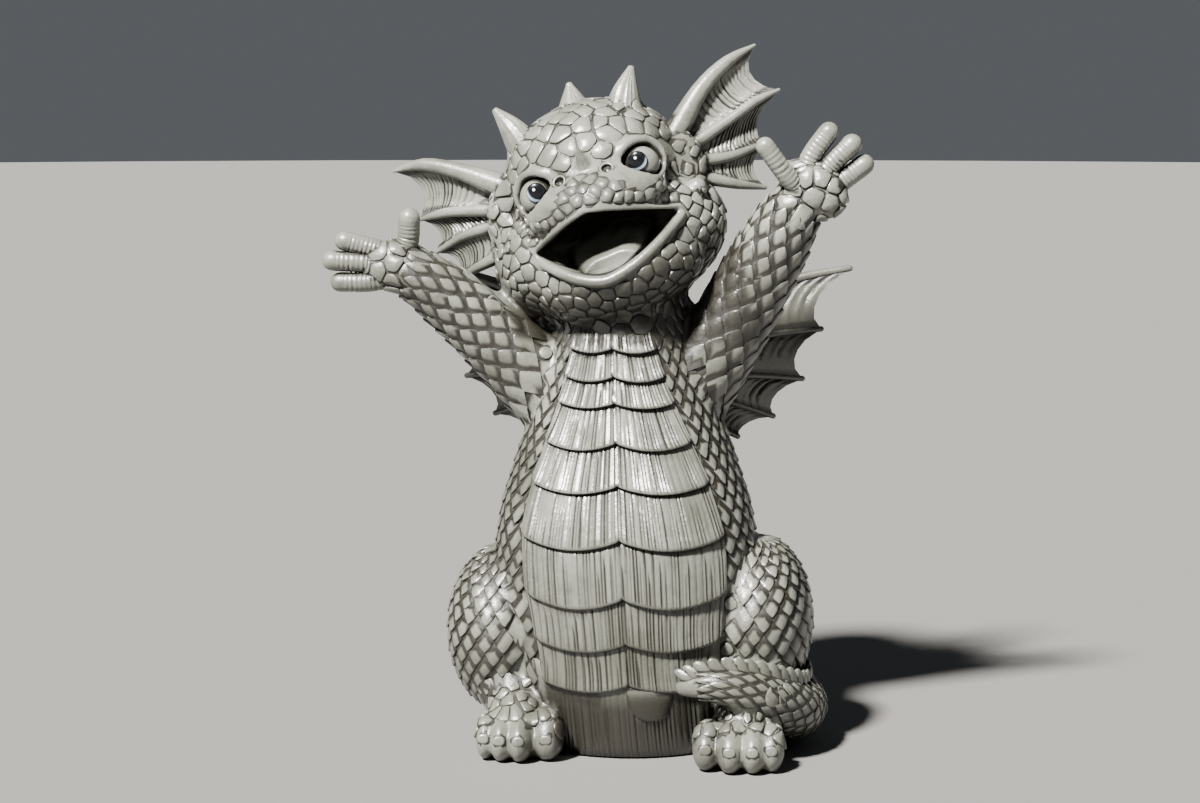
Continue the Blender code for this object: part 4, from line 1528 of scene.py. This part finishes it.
def seeds_on(skin, covered, chance):
    """Plate centres on the body by dart throwing, after the rims: (point, normal, spacing)."""
    wanted = rims(skin)
    first = len(wanted)
    spots = horn_spots()
    order = list(range(len(skin.centres)))
    chance.shuffle(order)
    grid = {}
    for point, _, spacing in wanted:
        grid.setdefault(cell_of(point, SEED_CELL), []).append((point, spacing))
    for index in order:
        point = skin.centres[index]
        normal = skin.soft[index]
        spacing = plate_spacing(point, normal)
        if spacing == 0:
            spacing = gap_spacing(point, covered)
        if not spacing:
            continue
        if point[2] > 200 and any((spot - Vector(point)).length < size for spot, size in spots):
            continue
        cell = cell_of(point, SEED_CELL)
        if not crowded(point, spacing, nearby(grid, cell)):
            grid.setdefault(cell, []).append((point, spacing))
            wanted.append((Vector(point), Vector(normal), spacing))
    return wanted, first


def clipped(polygon, middle, away):
    """The part of a flat polygon on the near side of a line."""
    kept = []
    for index, corner in enumerate(polygon):
        following = polygon[(index + 1) % len(polygon)]
        here = (corner[0] - middle[0]) * away[0] + (corner[1] - middle[1]) * away[1]
        there = (following[0] - middle[0]) * away[0] + (following[1] - middle[1]) * away[1]
        if here <= 0:
            kept.append(corner)
        if (here <= 0) != (there <= 0):
            share = here / (here - there)
            kept.append(tuple(a + (b - a) * share for a, b in zip(corner, following)))
    return kept


def plate_outline(index, seeds, grid):
    """The flat outline of one plate in its own plane, and that plane's two directions."""
    point, normal, spacing = seeds[index]
    across = normal.cross(Vector((0.13, 0.31, 0.94))).normalized()
    over = normal.cross(across)
    reach = 0.95 * spacing
    angles = [on_circle(step, 12) for step in range(12)]
    polygon = [(reach * math.cos(angle), reach * math.sin(angle)) for angle in angles]
    for other in nearby(grid, cell_of(point, OUTLINE_CELL)):
        if other == index:
            continue
        there, facing, size = seeds[other]
        offset = there - point
        if offset.length > 1.2 * (spacing + size) or facing.dot(normal) < 0.1:
            continue
        flat = (offset.dot(across), offset.dot(over))
        distance = math.hypot(*flat)
        if distance < 0.5:
            continue
        share = spacing / (spacing + size)
        away = (flat[0] / distance, flat[1] / distance)
        polygon = clipped(polygon, (flat[0] * share, flat[1] * share), away)
        if len(polygon) < 3:
            return None
    return polygon, across, over


def tidied(polygon, shortest, cut_corners):
    """The outline without edges shorter than shortest, its corners then cut if asked."""
    kept = []
    for corner in polygon:
        if not kept or math.dist(corner, kept[-1]) > shortest:
            kept.append(corner)
    if len(kept) > 3 and math.dist(kept[0], kept[-1]) < shortest:
        kept.pop()
    if len(kept) < 3:
        return None
    if not cut_corners:
        return kept
    rounded = []
    for index, corner in enumerate(kept):
        following = kept[(index + 1) % len(kept)]
        for share in (0.15, 0.85):
            rounded.append(tuple(a + (b - a) * share for a, b in zip(corner, following)))
    return rounded


def flat_plate(heap, skin, seed, outline, across, over, crack, lift, chance):
    """One raised plate, its top slightly domed and tilted; False where it doesn't fit."""
    point, normal, spacing = seed
    size = sum(math.hypot(*corner) for corner in outline) / len(outline)
    if size < 0.8:
        return False
    middle = [sum(corner[k] for corner in outline) / len(outline) for k in (0, 1)]
    lean = (chance.uniform(-0.1, 0.1), chance.uniform(-0.1, 0.1))
    lift = lift * min(1.0, 0.45 + 0.1 * spacing) * chance.uniform(0.85, 1.15)
    rings = [(crack / 2, -0.5), (crack / 2 + 0.08, 0.62 * lift), (crack / 2 + 0.42, lift)]
    if spacing < BEVELLED:
        rings = [(crack / 2, -0.5), (crack / 2 + 0.22, 0.8 * lift)]
    points = []
    for inset, rise in rings + [(None, lift * 1.18)]:
        corners = outline if inset is not None else [tuple(middle)]
        for corner in corners:
            dx, dy = corner[0] - middle[0], corner[1] - middle[1]
            away = math.hypot(dx, dy)
            shrink = 0.0 if inset is None else max(1 - inset / max(away, 0.1), 0.1)
            x, y = middle[0] + dx * shrink, middle[1] + dy * shrink
            start = point + across * x + over * y
            met = skin.meet(start + normal * 3.5, -normal, 8.0)
            if met is None:
                return False
            spot, facing = met
            if abs((spot - point).dot(normal)) > 0.42 * spacing:
                return False
            if rise < 0:
                points.append(spot + facing * rise)
            else:
                points.append(spot + (facing + normal).normalized() * (rise + lean[0] * x + lean[1] * y))
    count = len(outline)
    faces = [tuple(reversed(range(count)))]
    for ring in range(len(rings) - 1):
        faces += bridged(ring * count, (ring + 1) * count, count)
    top = (len(rings) - 1) * count
    for step in range(count):
        faces.append((top + step, top + (step + 1) % count, top + count))
    # painted shade and wash in the cracks: full at the foot of the wall, half on the next ring
    tones = [1.0] * count + [0.5] * count + [0.0] * (len(points) - 2 * count)
    heap.add(off_floor(points), faces, tones)
    return True


def nostril(heap, skin, right, up):
    """A raised ring round a nostril."""
    met, other = skin.face(right + 3.2, up), skin.face(right - 3.2, up)
    centre = (met[0] + other[0]) / 2
    facing = (met[1] + other[1] - INWARD).normalized()
    across = UPWARD.cross(facing).normalized()
    over = facing.cross(across)
    points = []
    faces = []
    sides, around = 22, 8
    for step in range(sides):
        angle = on_circle(step, sides)
        outward = across * math.cos(angle) + over * math.sin(angle)
        here, there = step * around, (step + 1) % sides * around
        for turn in range(around):
            tube = on_circle(turn, around)
            wide, rise = 2.35 + 0.5 * math.cos(tube), 0.05 + 0.6 * math.sin(tube)
            points.append(centre + outward * wide + facing * rise)
            following = (turn + 1) % around
            faces.append((here + turn, there + turn, there + following, here + following))
    heap.add(points, faces)


def tongue(heap):
    """A broad flat tongue that ends in a pale, pointed front face just behind the lower lip."""
    loops = []
    for forward, half, top, bottom, point in TONGUE:
        loop = []
        for step in range(TONGUE_SIDES):
            angle = on_circle(step, TONGUE_SIDES)
            swell = math.sin(angle)
            lens = abs(swell) ** point * (1 if swell > 0 else -1)
            lens *= 1 - 0.3 * max(0.0, swell) ** 8 * ramp(forward, 8, 20)
            level = (top + bottom) / 2 + 0.1 * half * math.cos(angle) + (top - bottom) / 2 * lens
            loop.append(on_head(-0.6 + half * math.cos(angle), level, forward))
        loops.append(loop)
    heap.add(*stacked(loops))


def points_taken(names):
    """The points of finished pieces, to be asked for the one nearest to a place."""
    points = [vertex.co / MM for name in names for vertex in bpy.data.objects[name].data.vertices]
    tree = KDTree(len(points))
    for index, point in enumerate(points):
        tree.insert(point, index)
    tree.balance()
    return tree


def head_relief(skin, crack, lift):
    """Flat plates of the head, palms and insteps, the nostrils and the tongue."""
    chance = random.Random(8)
    heap = Heap()
    seeds, first = seeds_on(skin, points_taken(("dragon_scales", "dragon_belly")), chance)
    grid = {}
    for index, (point, _, _) in enumerate(seeds):
        grid.setdefault(cell_of(point, OUTLINE_CELL), []).append(index)
    for index, seed in enumerate(seeds[first:], first):
        found = plate_outline(index, seeds, grid)
        if found is None:
            continue
        polygon, across, over = found
        outline = tidied(polygon, 0.26 * seed[2], seed[2] > CUT_CORNERS)
        if outline is None:
            continue
        for size in (1.0, 0.62):
            shape = [(size * x, size * y) for x, y in outline]
            if flat_plate(heap, skin, seed, shape, across, over, crack, lift, chance):
                break
    for spot in NOSTRILS:
        nostril(heap, skin, *spot)
    tongue(heap)
    return heap.made("dragon_head_relief")


def eyeballs():
    """The two resin eyeballs, each a ball in its socket."""
    for side in (-1, 1):
        centre = (side * EYE_SPREAD, EYE_UP - 0.6, EYE_FORWARD + 1.4)
        head_ball(f"eyeball_{side}", centre, (BARE_EYEBALL,) * 3)


def mouth_shade(point):
    """How much painted shade, with some wash, lies in the mouth at a point: 0 at the lips, most well behind
    them, less on the tongue.
    """
    right, up, forward = head_place(point)
    share = mouth_share(right)
    if share > 1.02 or not 0 < forward < 40:
        return 0.0
    if not lower_edge(right) - 2.0 < up < upper_edge(right) + 1.5:
        return 0.0
    shade = ramp(36.5 - 17.5 * share ** LIP_SWEEP - forward, 5.8, 8.4)
    on_tongue = up < -17.6 - 0.27 * forward
    return shade * (0.42 if on_tongue else 0.93)


def painted_shade_and_wash(point):
    """Painted shade, with some wash, at a point of the casting, apart from its crevices."""
    x, y, z = point
    right, up, forward = head_place(point)
    found = mouth_shade(point)
    # painted shade under the jaw, reaching higher on its side away from the key light
    if z > 150 and abs(right) < 44:
        found = max(found, 0.85 * ramp(0.14 * max(right, 0.0) - up, 27, 44) * ramp(forward, -10, 10))
    # painted shade on the wings
    if y > 24 and 95 < z < 182 and abs(x) > 24:
        found = max(found, 0.5)
    # painted shade low on the belly, then between the feet
    if z < 120 and y < -24 and abs(x - 1) < 38:
        found = max(found, 0.4 * ramp(120 - z, 0, 80))
    if z < 32 and -50 < y < -14:
        found = max(found, 0.98 * ramp(33 - z, 0, 13) * ramp(28 - abs(x - 1), 0, 5))
    return found


def triangles_of(obj):
    return sum(len(face.vertices) - 2 for face in obj.data.polygons)


def ray_sets(seed):
    """Sets of directions spread over the half sphere round Z, each set turned by its own angle."""
    chance = random.Random(seed)
    sets = []
    for _ in range(RAY_SETS):
        phase = chance.uniform(0, math.tau)
        directions = []
        for step in range(RAYS):
            angle = phase + step * RAY_TURN
            wide = math.sqrt((step + 0.5) / RAYS) * 0.95
            directions.append((wide * math.cos(angle), wide * math.sin(angle), math.sqrt(1 - wide * wide)))
        sets.append(directions)
    return sets


def shut_in(mesh, points, normals, reach, seed):
    """How shut in each vertex is nearby, and how hollow the casting is round it further off."""
    corners = [tuple(face.vertices) for face in mesh.polygons]
    cast = BVHTree.FromPolygons([tuple(point) for point in points], corners).ray_cast
    sets = ray_sets(seed)
    sideways = np.abs(normals[:, 2:3]) < 0.9
    helper = np.where(sideways, np.array([[0.0, 0.0, 1.0]]), np.array([[1.0, 0.0, 0.0]]))
    across = np.cross(helper, normals)
    across /= np.maximum(np.linalg.norm(across, axis=1), 1e-6)[:, None]
    over = np.cross(normals, across)
    shut = np.zeros(len(points))
    deep = np.zeros(len(points))
    far = reach * 4.5
    for index in range(len(points)):
        origin = Vector(points[index] + normals[index] * 0.1)
        total = 0.0
        hollow = 0.0
        a, b, n = across[index], over[index], normals[index]
        for x, y, z in sets[index % RAY_SETS]:
            distance = cast(origin, a * x + b * y + n * z, far)[3]
            if distance is not None:
                hollow += 1.0 - 0.35 * distance / far
                if distance < reach:
                    total += 1.0 - 0.6 * distance / reach
        shut[index] = total / RAYS
        deep[index] = hollow / RAYS
    return shut, deep


def bends(mesh, points, normals):
    """How proud each vertex stands of the vertices round it."""
    ends = column(mesh.edges, "vertices", 2, np.int32)
    step = points[ends[:, 1]] - points[ends[:, 0]]
    step /= np.maximum(np.linalg.norm(step, axis=1), 1e-6)[:, None]
    bend = np.zeros(len(points))
    hits = np.zeros(len(points))
    for end, way in ((ends[:, 0], -1), (ends[:, 1], 1)):
        np.add.at(bend, end, way * np.sum(step * normals[end], axis=1))
        np.add.at(hits, end, 1)
    return np.clip(bend / np.maximum(hits, 1), -1, 1)


def crevices(obj, reach, seed):
    """Writes each vertex's painted shade and wash, and how shut in, hollow and proud it is, for the material.
    """
    mesh = obj.data
    points = column(mesh.vertices, "co", 3).astype(float) / MM
    normals = column(mesh.vertex_normals, "vector", 3).astype(float)
    shut, deep = shut_in(mesh, points, normals, reach, seed)
    given = mesh.attributes["painted_shade_and_wash"].data
    darkened = np.maximum(column(given, "value"), [painted_shade_and_wash(point) for point in points])
    given.foreach_set("value", darkened.astype(np.float32))
    for name, values in (("crevice", shut), ("hollow", deep), ("edge", bends(mesh, points, normals))):
        made = mesh.attributes.new(name, "FLOAT", "POINT")
        made.data.foreach_set("value", values.astype(np.float32))


def spread(tree, value, low, high, out_low=0.0, out_high=1.0):
    """Maps low to high onto out_low to out_high, smoothly."""
    made = tree.nodes.new("ShaderNodeMapRange")
    made.interpolation_type = "SMOOTHSTEP"
    for socket, number in zip(("From Min", "From Max", "To Min", "To Max"), (low, high, out_low, out_high)):
        made.inputs[socket].default_value = number
    tree.links.new(value, made.inputs["Value"])
    return made.outputs["Result"]


def blended(tree, factor, first, second):
    """Mix of two colours, each a socket or a plain colour."""
    made = tree.nodes.new("ShaderNodeMix")
    made.data_type = "RGBA"
    tree.links.new(factor, made.inputs["Factor"])
    for socket, colour in ((made.inputs[6], first), (made.inputs[7], second)):
        if isinstance(colour, bpy.types.NodeSocket):
            tree.links.new(colour, socket)
        else:
            socket.default_value = (*colour, 1.0)
    return made.outputs[2]


def toned(colour, share):
    return tuple(share * value for value in colour)


def vector_step(tree, operation, first, second=None):
    """One vector node: its output, from a socket and perhaps a plain vector."""
    made = tree.nodes.new("ShaderNodeVectorMath")
    made.operation = operation
    tree.links.new(first, made.inputs[0])
    if second is not None:
        made.inputs[1].default_value = second
    return made.outputs["Value" if operation == "LENGTH" else "Vector"]


def mottle(tree, scale, detail, coords):
    """Cloudy noise between 0 and 1."""
    made = tree.nodes.new("ShaderNodeTexNoise")
    made.inputs["Scale"].default_value = scale
    made.inputs["Detail"].default_value = detail
    tree.links.new(coords, made.inputs["Vector"])
    return made.outputs["Fac"]


def attribute(tree, name):
    made = tree.nodes.new("ShaderNodeAttribute")
    made.attribute_name = name
    return made.outputs["Fac"]


def resin_material(colours):
    """Satin stone-grey resin: mottled, with painted shade and wash in its crevices and hollows, paler on
    rubbed edges.
    """
    material = bpy.data.materials.new("dragon_resin")
    material.use_nodes = True
    tree = material.node_tree
    shader = tree.nodes["Principled BSDF"]
    coords = tree.nodes.new("ShaderNodeTexCoord").outputs["Object"]
    place = tree.nodes.new("ShaderNodeSeparateXYZ")
    tree.links.new(coords, place.inputs[0])
    patches = mottle(tree, 38.0, 3.0, coords)
    specks = mottle(tree, 620.0, 2.0, coords)
    grain = mottle(tree, 1500.0, 3.0, coords)
    crevice = attribute(tree, "crevice")
    edge = attribute(tree, "edge")
    colour = blended(tree, spread(tree, patches, 0.35, 0.68), colours.resin, colours.shade)
    # darker and a little warmer towards the bottom, from 0.11 m down to 0.03 m
    low = spread(tree, place.outputs["Z"], 0.11, 0.03, 0.0, 0.3)
    red, green, blue = colours.shade
    colour = blended(tree, low, colour, (0.98 * red, green, 0.92 * blue))
    colour = blended(tree, spread(tree, edge, 0.25, 0.8, 0.0, 0.5), colour, colours.worn)
    colour = blended(tree, spread(tree, specks, 0.6, 0.75, 0.0, 0.08), colour, colours.worn)
    film = mottle(tree, 210.0, 5.0, coords)
    colour = blended(tree, spread(tree, film, 0.48, 0.8, 0.0, 0.3), colour, colours.wash_and_shade)
    # painted shade and wash in the crevices, where the short rays meet the casting
    colour = blended(tree, spread(tree, crevice, 0.01, 0.31, 0.0, 0.97), colour, colours.wash_and_shade)
    # painted shade, with some wash, deep in the hollows such as the mouth
    hollow = spread(tree, attribute(tree, "hollow"), 0.35, 0.85, 0.0, 0.9)
    colour = blended(tree, hollow, colour, colours.wash_and_shade)
    # painted shade and wash laid on the relief pieces, the mouth, the jaw, the wings, the belly and between
    # the feet
    dark = spread(tree, attribute(tree, "painted_shade_and_wash"), 0.0, 1.0, 0.0, 0.96)
    colour = blended(tree, dark, colour, colours.wash_and_shade)
    tree.links.new(colour, shader.inputs["Base Color"])
    gloss = tree.nodes.new("ShaderNodeMath")
    gloss.operation = "ADD"
    tree.links.new(spread(tree, patches, 0.3, 0.7, 0.29, 0.4), gloss.inputs[0])
    tree.links.new(spread(tree, crevice, 0.2, 0.8, 0.0, 0.35), gloss.inputs[1])
    tree.links.new(gloss.outputs[0], shader.inputs["Roughness"])
    shader.inputs["Specular IOR Level"].default_value = 0.7
    height = tree.nodes.new("ShaderNodeMath")
    height.operation = "MULTIPLY_ADD"
    tree.links.new(specks, height.inputs[0])
    height.inputs[1].default_value = 2.2
    tree.links.new(grain, height.inputs[2])
    bump = tree.nodes.new("ShaderNodeBump")
    bump.inputs["Strength"].default_value = 0.55
    bump.inputs["Distance"].default_value = 0.00012
    tree.links.new(height.outputs[0], bump.inputs["Height"])
    tree.links.new(bump.outputs["Normal"], shader.inputs["Normal"])
    return material


def eye_material(name, colours, centre, glint):
    """Glossy black pupil with a painted highlight, in a nearly black iris with a painted blue-grey reflection
    on one side.
    """
    material = bpy.data.materials.new(name)
    material.use_nodes = True
    tree = material.node_tree
    shader = tree.nodes["Principled BSDF"]
    coords = tree.nodes.new("ShaderNodeTexCoord").outputs["Object"]
    offset = vector_step(tree, "SUBTRACT", coords, centre * MM)
    flat = vector_step(tree, "MULTIPLY", offset, (1.0, 0.0, 1.0))
    away = vector_step(tree, "LENGTH", flat)
    beyond = vector_step(tree, "LENGTH", vector_step(tree, "ADD", flat, glint * 2.0 * MM))
    beside = vector_step(tree, "LENGTH", vector_step(tree, "SUBTRACT", flat, Vector(PAINTED_GLINT_AT) * MM))
    ring = spread(tree, away, 1.9 * MM, 2.2 * MM)
    rim = spread(tree, away, 3.2 * MM, 3.45 * MM)
    # painted reflection: a blue-grey crescent on the glint side of the iris
    painted_reflection = spread(tree, beyond, 3.9 * MM, 4.7 * MM)
    streaks = mottle(tree, 900.0, 3.0, coords)
    veins = spread(tree, streaks, 0.45, 0.7, 0.0, 0.35)
    iris = blended(tree, painted_reflection, toned(colours.iris_and_reflection, 0.02), toned(colours.iris_and_reflection, 1.5))
    iris = blended(tree, veins, iris, toned(colours.iris_and_reflection, 0.04))
    colour = blended(tree, ring, colours.pupil, iris)
    colour = blended(tree, rim, colour, toned(colours.wash_and_shade, 0.5))
    # painted highlight high on the pupil
    painted_glint = spread(tree, beside, PAINTED_GLINT * MM, 0.5 * PAINTED_GLINT * MM)
    colour = blended(tree, painted_glint, colour, colours.painted_glint)
    tree.links.new(colour, shader.inputs["Base Color"])
    tree.links.new(spread(tree, streaks, 0.3, 0.7, 0.16, 0.24), shader.inputs["Roughness"])
    shader.inputs["Specular IOR Level"].default_value = 0.22
    return material


def sizes():
    return bpy.context.scene.dragon_sizes


def colours():
    return bpy.context.scene.dragon_colours


def body_skin():
    return Skin(bpy.data.objects["dragon_body"])


class DRAGON_OT_body(bpy.types.Operator):
    """Sculpt the smooth body that carries all the relief"""

    bl_idname = "dragon.body"
    bl_label = "Smooth Body"

    def execute(self, context):
        body()
        return {"FINISHED"}


class DRAGON_OT_belly(bpy.types.Operator):
    """Lap the grooved belly plates over the torso"""

    bl_idname = "dragon.belly"
    bl_label = "Belly Plates"

    def execute(self, context):
        belly(sizes().plate_lift / MM, sizes().groove_depth / MM)
        return {"FINISHED"}


class DRAGON_OT_scales(bpy.types.Operator):
    """Lay the lapped scales and the fins of the back and tail"""

    bl_idname = "dragon.scales"
    bl_label = "Scales"

    def execute(self, context):
        scales(body_skin(), sizes().scale_lift / MM)
        return {"FINISHED"}


class DRAGON_OT_head(bpy.types.Operator):
    """Lay the flat plates of the head, palms and insteps, and add eyeballs, nostrils and tongue"""

    bl_idname = "dragon.head"
    bl_label = "Head Plates"

    def execute(self, context):
        head_relief(body_skin(), sizes().crack_width / MM, sizes().head_plate_lift / MM)
        eyeballs()
        return {"FINISHED"}


class DRAGON_OT_fins(bpy.types.Operator):
    """Build the ears, the wings and the grooved horns"""

    bl_idname = "dragon.fins"
    bl_label = "Ears and Wings"

    def execute(self, context):
        fins()
        fluted_horns()
        return {"FINISHED"}


class DRAGON_OT_digits(bpy.types.Operator):
    """Build the wrinkled fingers and the toe nails"""

    bl_idname = "dragon.digits"
    bl_label = "Fingers and Nails"

    def execute(self, context):
        digits(body_skin(), sizes().wrinkle_depth / MM)
        return {"FINISHED"}


class DRAGON_OT_casting(bpy.types.Operator):
    """Join body and relief to one casting, find its crevices and paint it"""

    bl_idname = "dragon.casting"
    bl_label = "Casting"

    def execute(self, context):
        smooth = bpy.data.objects["dragon_body"]
        relief = [bpy.data.objects[name] for name, _ in RELIEF]
        angles = [angle for _, angle in RELIEF] + [BODY_ANGLE]
        budget = MOST_TRIANGLES - sum(triangles_of(part) for part in relief)
        apply_modifier(smooth, "DECIMATE", ratio=budget / triangles_of(smooth))
        for vertex in smooth.data.vertices:
            vertex.co.z = max(vertex.co.z, 0.0)
        smooth.data.attributes.new("painted_shade_and_wash", "FLOAT", "POINT")
        for part, angle in zip(relief + [smooth], angles):
            activate(part)
            bpy.ops.object.shade_smooth_by_angle(angle=math.radians(angle))
        soften_rows(relief[0])
        casting = joined("dragon_casting", [smooth] + relief)
        casting.data.materials.clear()
        triangles = triangles_of(casting)
        if budget < LEAST_BODY or triangles > MOST_TRIANGLES + 1500:
            raise RuntimeError(f"the casting has {triangles} triangles")
        crevices(casting, sizes().shade_and_wash_reach / MM, 3)
        casting.data.materials.append(resin_material(colours()))
        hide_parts("dragon")
        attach(casting, "root")
        return {"FINISHED"}


class DRAGON_OT_eyes(bpy.types.Operator):
    """Set the two glossy eye inserts"""

    bl_idname = "dragon.eyes"
    bl_label = "Eyes"

    def execute(self, context):
        for side, name in ((-1, "left_eye"), (1, "right_eye")):
            centre = on_head(side * IRIS_SPREAD, IRIS_UP, EYE_FORWARD + EYEBALL)
            profile = [(-1.2, 3.3), (-0.9, IRIS), (0.0, IRIS)]
            for step in range(1, 9):
                angle = math.radians(86) * step / 8
                profile.append((IRIS_DOME * math.sin(angle), IRIS * math.cos(angle)))
            across = Vector((1, 0, 0))
            frames = [(centre - INWARD * forward, UPWARD, across, radius) for forward, radius in profile]
            insert = put(f"{name}_insert", *ring_skin(frames, 40))
            outward_normals(insert)
            activate(insert)
            bpy.ops.object.shade_smooth_by_angle(angle=math.radians(50))
            # the side of the iris on which the reflection is painted
            glint = Vector((0.62 if side > 0 else -0.45, 0, -0.7)).normalized()
            insert.data.materials.append(eye_material(f"{name}_glass", colours(), centre, glint))
            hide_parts(name)
            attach(insert, "root")
        return {"FINISHED"}


class DRAGON_OT_stage(bpy.types.Operator):
    """Lay the pale floor and set the light and the camera"""

    bl_idname = "dragon.stage"
    bl_label = "Stage"

    def execute(self, context):
        stage = context.scene.dragon_stage
        bpy.ops.object.select_all(action="DESELECT")
        bpy.ops.mesh.primitive_circle_add(vertices=96, radius=FLOOR_RADIUS, fill_type="NGON")
        floor = context.object
        floor.name = "floor"
        floor.data.transform(Matrix.Translation((0, 0, -FLOOR_DROP)))
        material = bpy.data.materials.new("pale_floor")
        material.use_nodes = True
        shader = material.node_tree.nodes["Principled BSDF"]
        shader.inputs["Base Color"].default_value = (*stage.floor, 1.0)
        shader.inputs["Roughness"].default_value = 0.85
        floor.data.materials.append(material)
        sun = bpy.data.lights.new("key", "SUN")
        sun.energy = stage.sun
        sun.angle = math.radians(SUN_WIDE)
        sun.color = (1.0, 0.975, 0.93)
        lamp = bpy.data.objects.new("key", sun)
        lamp.rotation_euler = (math.radians(SUN_TILT), 0, math.radians(SUN_TURN))
        context.scene.collection.objects.link(lamp)
        world = bpy.data.worlds.new("studio")
        world.use_nodes = True
        background = world.node_tree.nodes["Background"]
        background.inputs["Color"].default_value = (0.8, 0.86, 0.93, 1.0)
        background.inputs["Strength"].default_value = stage.sky
        context.scene.world = world
        camera = bpy.data.objects.new("camera", bpy.data.cameras.new("camera"))
        camera.data.lens = LENS
        camera.data.sensor_width = 36
        turn = math.radians(CAMERA_TURN)
        ahead = Vector((-math.sin(turn), math.cos(turn), 0))
        aside = Vector((math.cos(turn), math.sin(turn), 0))
        camera.location = UPWARD * CAMERA_HEIGHT - ahead * CAMERA_AWAY - aside * CAMERA_ASIDE
        pitch = math.radians(CAMERA_PITCH)
        sight = ahead * math.cos(pitch) - UPWARD * math.sin(pitch)
        camera.rotation_euler = sight.to_track_quat("-Z", "Y").to_euler()
        context.scene.collection.objects.link(camera)
        context.scene.camera = camera
        return {"FINISHED"}


STEPS = (
    DRAGON_OT_body,
    DRAGON_OT_belly,
    DRAGON_OT_scales,
    DRAGON_OT_head,
    DRAGON_OT_fins,
    DRAGON_OT_digits,
    DRAGON_OT_casting,
    DRAGON_OT_eyes,
    DRAGON_OT_stage,
)


class DRAGON_PT_panel(bpy.types.Panel):
    """Sizes, colours and the steps in order"""

    bl_idname = "DRAGON_PT_panel"
    bl_label = "Garden Dragon"
    bl_space_type = "VIEW_3D"
    bl_region_type = "UI"
    bl_category = "Dragon"

    def draw(self, context):
        for group in (context.scene.dragon_sizes, context.scene.dragon_colours, context.scene.dragon_stage):
            for key in group.__annotations__:
                self.layout.prop(group, key)
        for step in STEPS:
            self.layout.operator(step.bl_idname)


GROUPS = (DragonSizes, DragonColours, DragonStage)


def register():
    for made in GROUPS + STEPS + (DRAGON_PT_panel,):
        bpy.utils.register_class(made)
    bpy.types.Scene.dragon_sizes = bpy.props.PointerProperty(type=DragonSizes)
    bpy.types.Scene.dragon_colours = bpy.props.PointerProperty(type=DragonColours)
    bpy.types.Scene.dragon_stage = bpy.props.PointerProperty(type=DragonStage)


def unregister():
    del bpy.types.Scene.dragon_sizes
    del bpy.types.Scene.dragon_colours
    del bpy.types.Scene.dragon_stage
    for made in reversed(GROUPS + STEPS + (DRAGON_PT_panel,)):
        bpy.utils.unregister_class(made)


def main():
    register()
    bpy.ops.dragon.body()
    bpy.ops.dragon.belly()
    bpy.ops.dragon.scales()
    bpy.ops.dragon.head()
    bpy.ops.dragon.fins()
    bpy.ops.dragon.digits()
    bpy.ops.dragon.casting()
    bpy.ops.dragon.eyes()
    bpy.ops.dragon.stage()


if __name__ == "__main__":
    main()
